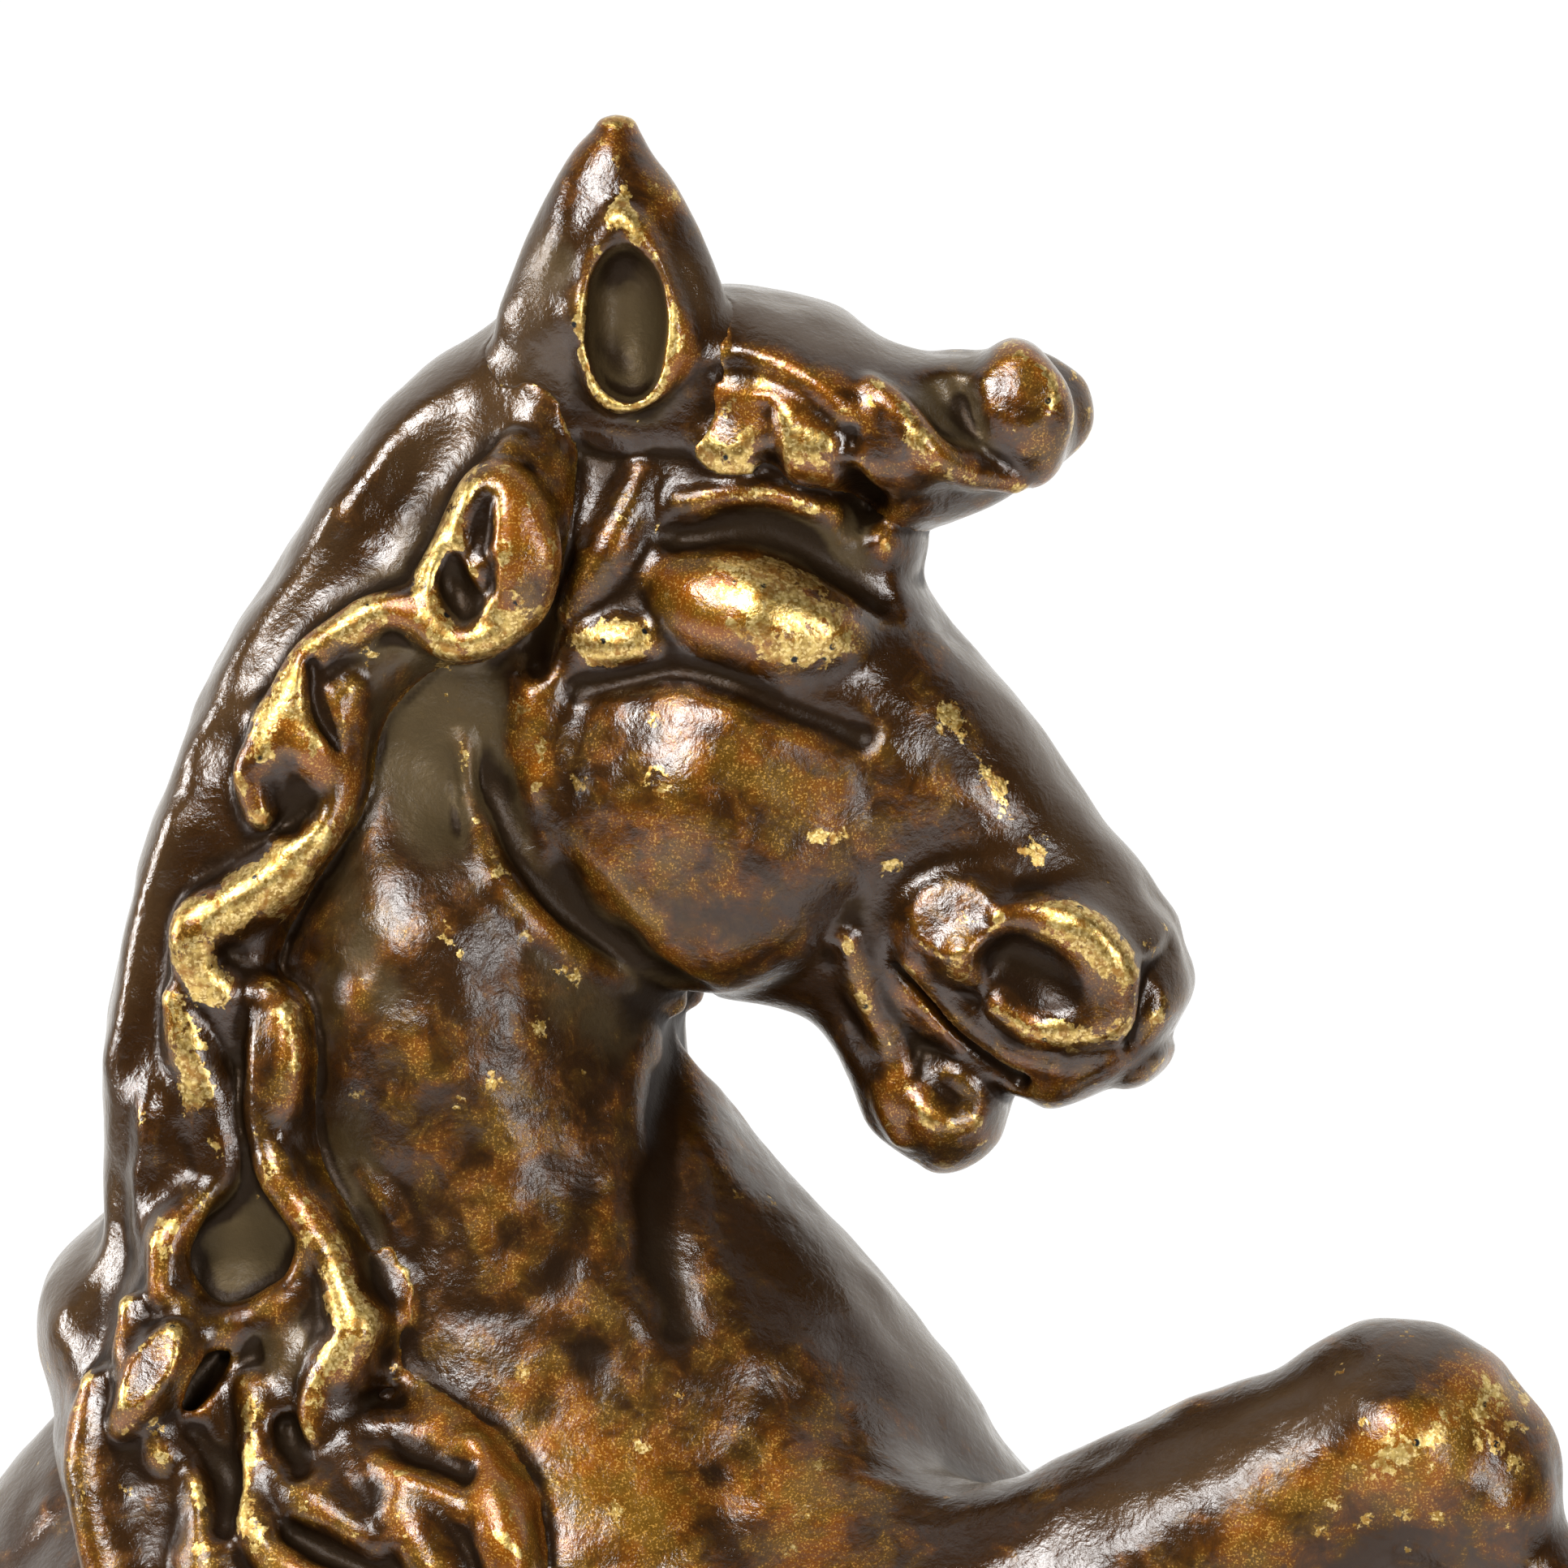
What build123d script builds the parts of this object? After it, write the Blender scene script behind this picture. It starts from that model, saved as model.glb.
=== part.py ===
"""Rearing horse statuette in bronze, assembled from separate castings on a stone plinth.

Frame: +Z up, +X the way the horse faces, +Y its left side. The origin is the middle of the
felt pad's underside. Lengths are in millimetres. The head, the legs, the tail and the hair
are cast apart from the trunk, pinned to it with dowels and soldered; three studs hold the
horse down on the ground casting and the plinth.
"""

import os
from math import cos, hypot, radians, sin

from build123d import *

# ---- base, from the table upwards ----
FELT_THICK = 1.0
FELT_INSET = 1.5
PLINTH_HEIGHT = 12.0
PLINTH_LENGTH, PLINTH_WIDTH = 84.0, 50.0
PLINTH_EDGE = 1.2
GROUND_THICK = 4.0
GROUND_LENGTH, GROUND_WIDTH = 76.0, 42.0
GROUND_EDGE = 1.5
PLINTH_TOP = FELT_THICK + PLINTH_HEIGHT
GROUND_TOP = PLINTH_TOP + GROUND_THICK

# ---- trunk: sections (forward, up, half depth, half width), measured from the withers ----
WITHERS = (10.0, 100.5)
TRUNK_PITCH = 50.0
TRUNK = [
    (16.5, -26.5, 4.5, 5.0),
    (13.0, -24.0, 8.5, 8.0),
    (8.0, -20.5, 12.0, 9.5),
    (2.0, -17.5, 14.0, 10.8),
    (-5.0, -16.0, 14.6, 11.3),
    (-13.0, -15.5, 14.2, 11.8),
    (-22.0, -15.0, 13.2, 12.0),
    (-30.0, -13.5, 12.0, 11.6),
    (-37.0, -12.0, 11.5, 11.3),
    (-44.0, -11.0, 10.6, 10.4),
    (-50.0, -10.3, 7.6, 7.6),
    (-53.0, -9.8, 4.0, 4.0),
]

# ---- neck and head: sections from an upper outline point (x, z) to a lower one, half width ----
NECK_SEAM_HEIGHT = 98.5
NECK = [
    ((9.0, 95.0), (41.0, 94.0), 9.6),
    ((10.6, 101.0), (40.6, 101.0), 9.0),
    ((13.2, 108.0), (35.4, 107.6), 7.8),
    ((14.2, 115.0), (31.6, 111.4), 6.8),
    ((16.4, 122.0), (30.8, 114.6), 6.2),
    ((20.6, 129.0), (31.0, 120.0), 5.4),
    ((26.0, 134.5), (32.0, 127.0), 4.4),
]
HEAD = [
    ((30.5, 136.4), (25.5, 130.0), 3.2),
    ((36.2, 134.0), (27.2, 124.5), 4.3),
    ((38.4, 128.6), (27.6, 119.6), 4.6),
    ((40.6, 123.6), (30.0, 115.8), 4.1),
    ((43.0, 119.8), (34.4, 113.8), 3.2),
    ((45.2, 117.2), (38.6, 112.6), 2.9),
    ((46.6, 115.4), (41.8, 111.6), 2.8),
    ((46.7, 113.6), (44.2, 112.0), 1.6),
]
CHIN = [
    (33.0, 0.0, 116.5, 3.0, 2.8),
    (36.5, 0.0, 113.4, 2.1, 2.2),
    (38.4, 0.0, 111.0, 1.7, 1.9),
    (39.2, 0.0, 109.8, 0.8, 1.0),
]
EAR_SIDE = 2.6
EAR = [
    (29.6, 132.5, 3.2, 1.7),
    (29.4, 135.5, 2.8, 1.6),
    (29.2, 138.5, 1.9, 1.1),
    (28.9, 141.4, 0.5, 0.4),
]

# ---- hair ----
MANE_SIDE = -2.0
MANE = [
    ((27.0, 136.4), (30.5, 131.5), 3.6),
    ((22.0, 132.6), (27.5, 127.0), 5.0),
    ((16.4, 124.5), (24.5, 120.5), 6.0),
    ((13.6, 115.5), (22.5, 114.0), 6.6),
    ((12.6, 109.0), (22.5, 107.5), 7.4),
    ((10.4, 104.2), (23.0, 101.5), 8.8),
    ((11.5, 98.5), (25.0, 95.0), 10.0),
    ((16.0, 92.0), (25.0, 90.0), 9.8),
]
FORELOCK = [
    (31.5, 0.0, 135.4, 1.6, 2.6),
    (34.6, 0.0, 134.0, 2.4, 3.0),
    (37.6, 0.0, 132.4, 2.3, 2.7),
    (40.2, 0.0, 132.0, 2.3, 2.3),
    (42.0, 0.0, 131.9, 2.0, 2.0),
    (43.0, 0.0, 131.8, 0.8, 0.8),
]
TAIL = [
    (-16.5, 0.0, 61.5, 2.4, 2.4),
    (-21.5, 0.0, 62.0, 3.0, 2.8),
    (-26.0, 0.0, 57.5, 3.6, 3.6),
    (-28.4, 0.0, 49.0, 4.2, 4.2),
    (-28.8, 0.0, 39.0, 4.4, 4.4),
    (-29.6, 0.0, 29.0, 3.8, 3.8),
    (-31.0, 0.0, 21.0, 3.0, 3.0),
    (-31.6, 0.0, GROUND_TOP, 2.6, 2.6),
]

# ---- legs: joints as (x, y, z), with the right leg's y negative ----
RIGHT_FORELEG = [(36.0, -7.0, 92.5), (54.0, -6.2, 102.6), (62.0, -6.0, 92.2), (61.0, -6.0, 87.6)]
LEFT_FORELEG = [(35.5, 7.0, 91.0), (51.5, 6.6, 93.6), (55.0, 6.4, 80.8), (52.2, 6.4, 77.0)]
RIGHT_HIND_LEG = [(4.6, -8.6, 48.5), (-8.8, -8.6, 35.2), (0.4, -8.6, 24.2), (3.0, -8.6, 21.6)]
LEFT_HIND_LEG = [(0.6, 8.6, 47.5), (-13.0, 8.6, 34.6), (-4.6, 8.6, 24.2), (-2.0, 8.6, 21.6)]
# half depth and half width of each bone at its upper end, middle and lower end
FORELEG_BONES = [
    [(5.6, 4.8), (4.4, 4.0), (3.5, 3.2)],
    [(2.9, 2.7), (2.2, 2.1), (2.4, 2.2)],
    [(2.3, 2.2), (2.1, 2.0), (2.4, 2.3)],
]
HIND_LEG_BONES = [
    [(6.8, 4.8), (4.6, 3.6), (3.1, 2.7)],
    [(2.9, 2.6), (2.3, 2.1), (2.5, 2.3)],
    [(2.4, 2.3), (2.2, 2.1), (2.5, 2.4)],
]
FORELEG_JOINT_R = [3.7, 2.7]
HIND_LEG_JOINT_R = [3.3, 2.8]
HOOF_LENGTH = 4.6
HOOF_TOP, HOOF_SOLE = (2.7, 2.5), (3.7, 3.1)
HIP = (-8.5, 60.0)
HIP_SIDE = 5.8
HAUNCH_R = 7.4
STIFLE_R = 5.4
ELBOW_R = 5.9

# ---- dowels, pins and studs ----
NECK_DOWEL_R, NECK_DOWEL_LENGTH = 1.5, 12.0
LEG_DOWEL_R, LEG_DOWEL_LENGTH = 1.2, 9.0
TAIL_DOWEL_R, TAIL_DOWEL_LENGTH = 1.0, 7.0
PIN_R, PIN_LENGTH = 0.6, 4.5
MANE_PIN_PLACES = [(21.2, 3.1, 126.0), (17.0, 4.4, 114.5), (16.2, 5.2, 104.0)]
STUD_R, STUD_SINK = 1.25, 4.0
STUD_CLEARANCE = 0.25
WASHER_R, WASHER_THICK = 3.0, 0.5
NUT_FLATS, NUT_THICK = 5.0, 2.0
# a pocket under the plinth takes a washer, a nut and the stud's end
POCKET_R, POCKET_DEPTH = 3.6, 3.6
STUD_PROUD = 0.5
NECK_DOWEL_PLACES = (19.0, 32.0)
FORELOCK_PIN_PLACE = (33.6, 0.0, 133.2)
DOCK = (-18.0, 0.0, 61.8)
DOWEL_SHARE = 0.3  # how far down a leg's first bone its dowel's middle lies

TRUNK_ALONG = (cos(radians(TRUNK_PITCH)), 0, sin(radians(TRUNK_PITCH)))


def trunk_point(forward, up):
    """A point in the plane of symmetry, measured along and across the trunk from the withers."""
    c, s = TRUNK_ALONG[0], TRUNK_ALONG[2]
    return WITHERS[0] + forward * c - up * s, 0, WITHERS[1] + forward * s + up * c


def rib(centre, along, half_width, half_depth):
    """One elliptical cross-section of a casting, square to the direction along."""
    with BuildSketch(Plane(origin=centre, x_dir=(0, 1, 0), z_dir=along)) as section:
        Ellipse(half_width, half_depth)
    return section.sketch


def rib_between(top, bottom, half_width, y=0.0):
    """A cross-section whose long axis runs from one outline point (x, z) to the one facing it."""
    dx, dz = top[0] - bottom[0], top[1] - bottom[1]
    centre = ((top[0] + bottom[0]) / 2, y, (top[1] + bottom[1]) / 2)
    return rib(centre, (dz, 0, -dx), half_width, hypot(dx, dz) / 2)


def ribs_along(stations):
    """Cross-sections along a bent piece, from (x, y, z, half_depth, half_width) at each station."""
    ribs = []
    for i, (x, y, z, half_depth, half_width) in enumerate(stations):
        before, after = stations[max(i - 1, 0)], stations[min(i + 1, len(stations) - 1)]
        along = (after[0] - before[0], 0, after[2] - before[2])
        ribs.append(rib((x, y, z), along, half_width, half_depth))
    return ribs


def bone(start, end, sizes):
    """A straight stretch of a leg, with its sections at equal steps from start to end."""
    step = (Vector(*end) - Vector(*start)) / (len(sizes) - 1)
    ribs = []
    for i, (half_depth, half_width) in enumerate(sizes):
        centre = Vector(*start) + step * i
        ribs.append(rib(tuple(centre), (step.X, 0, step.Z), half_width, half_depth))
    with BuildPart() as stretch:
        loft(ribs)
    return stretch.part


def hoof(top, along):
    """A hoof that widens from the coronet to a flat sole."""
    sole = tuple(Vector(*top) + Vector(*along).normalized() * HOOF_LENGTH)
    with BuildPart() as shell:
        loft([rib(top, along, HOOF_TOP[1], HOOF_TOP[0]), rib(sole, along, HOOF_SOLE[1], HOOF_SOLE[0])])
    return shell.part


def leg(joints, bones, joint_radii, hoof_along):
    """A whole leg casting: three bones, the joints between them and the hoof."""
    with BuildPart() as casting:
        for (start, end), sizes in zip(zip(joints, joints[1:]), bones):
            add(bone(start, end, sizes))
        for centre, radius in zip(joints[1:], joint_radii):
            with Locations(centre):
                Sphere(radius)
        add(hoof(joints[3], hoof_along))
    return casting.part


def rod(centre, along, radius, length):
    """A dowel, pin or stud, centred on a point."""
    with BuildPart(Plane(origin=centre, z_dir=along)) as pin:
        Cylinder(radius, length)
    return pin.part


def unit(start, end):
    """The direction from one joint to the next, kept in the leg's own plane."""
    return (end[0] - start[0], 0, end[2] - start[2])


def leg_dowel(joints):
    """The dowel that holds a leg's upper bone in the trunk."""
    start, end = Vector(*joints[0]), Vector(*joints[1])
    return rod(start + (end - start) * DOWEL_SHARE, unit(*joints[:2]), LEG_DOWEL_R, LEG_DOWEL_LENGTH)


def stud_hole(place):
    """The blind hole for a hold-down stud in a hoof or in the tail's end."""
    return rod((*place, GROUND_TOP), (0, 0, 1), STUD_R, 2 * STUD_SINK)


# ---- dowel and stud places ----
NECK_DOWELS = [
    rod((x, 0, NECK_SEAM_HEIGHT), (0, 0, 1), NECK_DOWEL_R, NECK_DOWEL_LENGTH) for x in NECK_DOWEL_PLACES
]
FORELEG_DOWELS = [leg_dowel(joints) for joints in (RIGHT_FORELEG, LEFT_FORELEG)]
HIND_LEG_DOWELS = [leg_dowel(joints) for joints in (RIGHT_HIND_LEG, LEFT_HIND_LEG)]
TAIL_DOWEL = rod(DOCK, (1, 0, 0), TAIL_DOWEL_R, TAIL_DOWEL_LENGTH)
MANE_PINS = [rod((x, -side, z), (0, 1, 0), PIN_R, PIN_LENGTH) for x, side, z in MANE_PIN_PLACES]
FORELOCK_PIN = rod(FORELOCK_PIN_PLACE, (0, 0, 1), PIN_R, PIN_LENGTH)
STUD_PLACES = [RIGHT_HIND_LEG[3][:2], LEFT_HIND_LEG[3][:2], TAIL[-1][:2]]
POCKET_ROOF = FELT_THICK + POCKET_DEPTH
STUD_LOW = POCKET_ROOF - WASHER_THICK - NUT_THICK - STUD_PROUD
STUD_HIGH = GROUND_TOP + STUD_SINK


def haunch(side):
    """The thigh's muscle on one side of the trunk, down to the stifle."""
    stifle = RIGHT_HIND_LEG[0] if side < 0 else LEFT_HIND_LEG[0]
    start = (HIP[0], side * HIP_SIDE, HIP[1])
    with BuildPart() as muscle:
        add(bone(start, stifle, [(11.0, 5.4), (9.6, 5.6), (7.0, 5.0)]))
        with Locations(start):
            Sphere(HAUNCH_R)
        with Locations(stifle):
            Sphere(STIFLE_R)
    return muscle.part


def shoulder(side):
    """The shoulder blade and upper arm on one side of the trunk."""
    elbow = RIGHT_FORELEG[0] if side < 0 else LEFT_FORELEG[0]
    with BuildPart() as muscle:
        add(bone((15.0, side * 6.4, 96.0), elbow, [(6.0, 3.6), (9.0, 5.2), (7.0, 5.4)]))
        with Locations(elbow):
            Sphere(ELBOW_R)
    return muscle.part


# ---- castings ----
with BuildPart() as body_casting:
    loft([rib(trunk_point(f, u), TRUNK_ALONG, hw, hd) for f, u, hd, hw in TRUNK])
    add([shoulder(-1), shoulder(1), haunch(-1), haunch(1)])
    split(bisect_by=Plane.XY.offset(NECK_SEAM_HEIGHT), keep=Keep.BOTTOM)
    add(NECK_DOWELS + FORELEG_DOWELS + HIND_LEG_DOWELS + [TAIL_DOWEL], mode=Mode.SUBTRACT)
body_casting.part.label = "body_casting"

with BuildPart() as head_and_neck_casting:
    loft([rib_between(*section) for section in NECK])
    split(bisect_by=Plane.XY.offset(NECK_SEAM_HEIGHT), keep=Keep.TOP)
    loft([rib_between(*section) for section in HEAD])
    loft(ribs_along(CHIN))
    for side in (-1, 1):
        loft([rib((x, side * EAR_SIDE, z), (0, 0, 1), hw, hd) for x, z, hd, hw in EAR])
    add(NECK_DOWELS + MANE_PINS + [FORELOCK_PIN], mode=Mode.SUBTRACT)
head_and_neck_casting.part.label = "head_and_neck_casting"

with BuildPart() as mane_casting:
    loft([rib_between(*section, y=MANE_SIDE) for section in MANE])
    add([head_and_neck_casting.part, body_casting.part] + MANE_PINS, mode=Mode.SUBTRACT)
    add(mane_casting.solids().sort_by(SortBy.VOLUME)[-1], mode=Mode.REPLACE)
mane_casting.part.label = "mane_casting"

with BuildPart() as forelock_casting:
    loft(ribs_along(FORELOCK))
    add([head_and_neck_casting.part, FORELOCK_PIN], mode=Mode.SUBTRACT)
forelock_casting.part.label = "forelock_casting"

with BuildPart() as tail_casting:
    loft(ribs_along(TAIL))
    split(bisect_by=Plane.XY.offset(GROUND_TOP), keep=Keep.TOP)
    add([body_casting.part, TAIL_DOWEL], mode=Mode.SUBTRACT)
    add(stud_hole(STUD_PLACES[2]), mode=Mode.SUBTRACT)
tail_casting.part.label = "tail_casting"

PARTS = [body_casting, head_and_neck_casting, mane_casting, forelock_casting, tail_casting]
FORELEGS = [("right_foreleg_casting", RIGHT_FORELEG), ("left_foreleg_casting", LEFT_FORELEG)]
HIND_LEGS = [("right_hind_leg_casting", RIGHT_HIND_LEG), ("left_hind_leg_casting", LEFT_HIND_LEG)]
for (name, joints), dowel in zip(FORELEGS, FORELEG_DOWELS):
    with BuildPart() as foreleg_casting:
        add(leg(joints, FORELEG_BONES, FORELEG_JOINT_R, unit(*joints[2:])))
        add([body_casting.part, head_and_neck_casting.part, dowel], mode=Mode.SUBTRACT)
    foreleg_casting.part.label = name
    PARTS.append(foreleg_casting)

for (name, joints), dowel, stud_place in zip(HIND_LEGS, HIND_LEG_DOWELS, STUD_PLACES):
    with BuildPart() as hind_leg_casting:
        add(leg(joints, HIND_LEG_BONES, HIND_LEG_JOINT_R, (0, 0, -1)))
        add([body_casting.part, dowel, stud_hole(stud_place)], mode=Mode.SUBTRACT)
    hind_leg_casting.part.label = name
    PARTS.append(hind_leg_casting)

# ---- base ----
with BuildPart() as ground_casting:
    with BuildSketch(Plane.XY.offset(PLINTH_TOP)):
        Ellipse(GROUND_LENGTH / 2, GROUND_WIDTH / 2)
    extrude(amount=GROUND_THICK)
    chamfer(ground_casting.faces().sort_by(Axis.Z)[-1].edges(), GROUND_EDGE)
    with Locations(*[(x, y, PLINTH_TOP + GROUND_THICK / 2) for x, y in STUD_PLACES]):
        Cylinder(STUD_R + STUD_CLEARANCE, GROUND_THICK, mode=Mode.SUBTRACT)
ground_casting.part.label = "ground_casting"

with BuildPart() as stone_plinth:
    with BuildSketch(Plane.XY.offset(FELT_THICK)):
        Ellipse(PLINTH_LENGTH / 2, PLINTH_WIDTH / 2)
    extrude(amount=PLINTH_HEIGHT)
    chamfer(stone_plinth.faces().sort_by(Axis.Z)[-1].edges(), PLINTH_EDGE)
    with Locations(*[(x, y, FELT_THICK + PLINTH_HEIGHT / 2) for x, y in STUD_PLACES]):
        Cylinder(STUD_R + STUD_CLEARANCE, PLINTH_HEIGHT, mode=Mode.SUBTRACT)
    with Locations(*[(x, y, FELT_THICK + POCKET_DEPTH / 2) for x, y in STUD_PLACES]):
        Cylinder(POCKET_R, POCKET_DEPTH, mode=Mode.SUBTRACT)
stone_plinth.part.label = "stone_plinth"

with BuildPart() as felt_pad:
    with BuildSketch():
        Ellipse(PLINTH_LENGTH / 2 - FELT_INSET, PLINTH_WIDTH / 2 - FELT_INSET)
    extrude(amount=FELT_THICK)
felt_pad.part.label = "felt_pad"

with BuildPart() as hold_down_studs:
    with Locations(*[(x, y, (STUD_HIGH + STUD_LOW) / 2) for x, y in STUD_PLACES]):
        Cylinder(STUD_R, STUD_HIGH - STUD_LOW)
hold_down_studs.part.label = "hold_down_studs"

with BuildPart() as washers:
    with Locations(*[(x, y, POCKET_ROOF - WASHER_THICK / 2) for x, y in STUD_PLACES]):
        Cylinder(WASHER_R, WASHER_THICK)
        Cylinder(STUD_R + STUD_CLEARANCE, WASHER_THICK, mode=Mode.SUBTRACT)
washers.part.label = "washers"

with BuildPart() as nuts:
    with BuildSketch(Plane.XY.offset(POCKET_ROOF - WASHER_THICK - NUT_THICK)):
        with Locations(*STUD_PLACES):
            RegularPolygon(NUT_FLATS / 2, 6, major_radius=False)
            Circle(STUD_R, mode=Mode.SUBTRACT)
    extrude(amount=NUT_THICK)
nuts.part.label = "nuts"

# ---- dowels and pins across the soldered joints ----
DOWEL_GROUPS = {
    "neck_dowels": NECK_DOWELS,
    "foreleg_dowels": FORELEG_DOWELS,
    "hind_leg_dowels": HIND_LEG_DOWELS,
    "tail_dowel": [TAIL_DOWEL],
    "mane_pins": MANE_PINS,
    "forelock_pin": [FORELOCK_PIN],
}
for name, rods in DOWEL_GROUPS.items():
    with BuildPart() as dowels:
        add(rods)
    dowels.part.label = name
    PARTS.append(dowels)

PARTS += [ground_casting, stone_plinth, felt_pad, hold_down_studs, washers, nuts]
os.makedirs("parts", exist_ok=True)
for piece in PARTS:
    export_step(piece.part, f"parts/{piece.part.label}.step")
    print(piece.part.label, "solids", len(piece.part.solids()), "volume", round(piece.part.volume, 1))
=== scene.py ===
"""Looks of the rearing horse statuette: sculpted bronze castings, stone plinth, felt and studio.

The bronze is sculpted the way a modeller builds it up in wax. A block of signed distances, the
clay, takes lofts, tubes and lumps that melt into each other, and tools that cut into it. Each
casting is then skinned as its own closed mesh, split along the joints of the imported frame.
Sculpting lengths are in millimetres in the frame's own axes; meshes are in metres.
"""

from math import cos, pi, radians, sin

import bmesh
import bpy
import numpy as np
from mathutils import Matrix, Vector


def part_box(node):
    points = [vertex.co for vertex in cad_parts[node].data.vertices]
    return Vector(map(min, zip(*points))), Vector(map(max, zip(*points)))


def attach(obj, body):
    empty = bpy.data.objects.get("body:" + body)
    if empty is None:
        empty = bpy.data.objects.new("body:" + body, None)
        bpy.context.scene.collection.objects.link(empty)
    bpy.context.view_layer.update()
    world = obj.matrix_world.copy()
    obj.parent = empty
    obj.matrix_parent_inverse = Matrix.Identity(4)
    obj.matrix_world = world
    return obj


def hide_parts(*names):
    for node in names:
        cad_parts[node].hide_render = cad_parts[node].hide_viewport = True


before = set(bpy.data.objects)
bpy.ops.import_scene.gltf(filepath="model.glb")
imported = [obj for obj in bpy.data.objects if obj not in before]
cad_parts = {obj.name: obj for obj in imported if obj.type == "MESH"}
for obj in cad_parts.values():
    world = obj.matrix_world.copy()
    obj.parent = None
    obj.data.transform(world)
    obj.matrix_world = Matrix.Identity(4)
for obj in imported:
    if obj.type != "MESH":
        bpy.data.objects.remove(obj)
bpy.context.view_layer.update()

import openvdb
from mathutils import Vector

MM = 0.001
FAR, DEEP = 3.0, 20.0  # how far from the surface the clay's distances go, outside and inside
MARGIN = 0.3  # room around a shape in the part of the grid that it works on
END_ROUND = 0.6  # how far a loft's ends bulge, as a share of its half thickness

FINE, MIDDLE = ((0.15, 0.28))
SEAM_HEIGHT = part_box("head_and_neck_casting")[0].z / MM
GROUND_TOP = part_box("ground_casting")[1].z / MM


# ---------------------------------------------------------------- clay
def smooth_path(points, steps):
    """A Catmull-Rom curve through rows of numbers, with a few steps between each two rows."""
    p = np.array(points, float)
    p = np.vstack([2 * p[0] - p[1], p, 2 * p[-1] - p[-2]])
    t = np.linspace(0, 1, steps, endpoint=False)[:, None]
    spans = []
    for a, b, c, d in zip(p, p[1:], p[2:], p[3:]):
        spans.append(
            0.5 * (2 * b + (c - a) * t + (2 * a - 5 * b + 4 * c - d) * t**2 + (3 * b - a - 3 * c + d) * t**3)
        )
    return np.vstack(spans + [p[-2]])


def melt(a, b, soft):
    """The union of two distance fields, with a fillet about as wide as soft."""
    if soft <= 0:
        return np.minimum(a, b)
    h = np.maximum(soft - np.abs(a - b), 0) / soft
    return np.minimum(a, b) - h * h * (soft / 4)


PRESSED = (-0.045, -0.94, 0.33)  # the way a flattened place faces
PRESS_DEPTH = 0.75  # how much of a flattened lump's thickness is left


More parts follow.
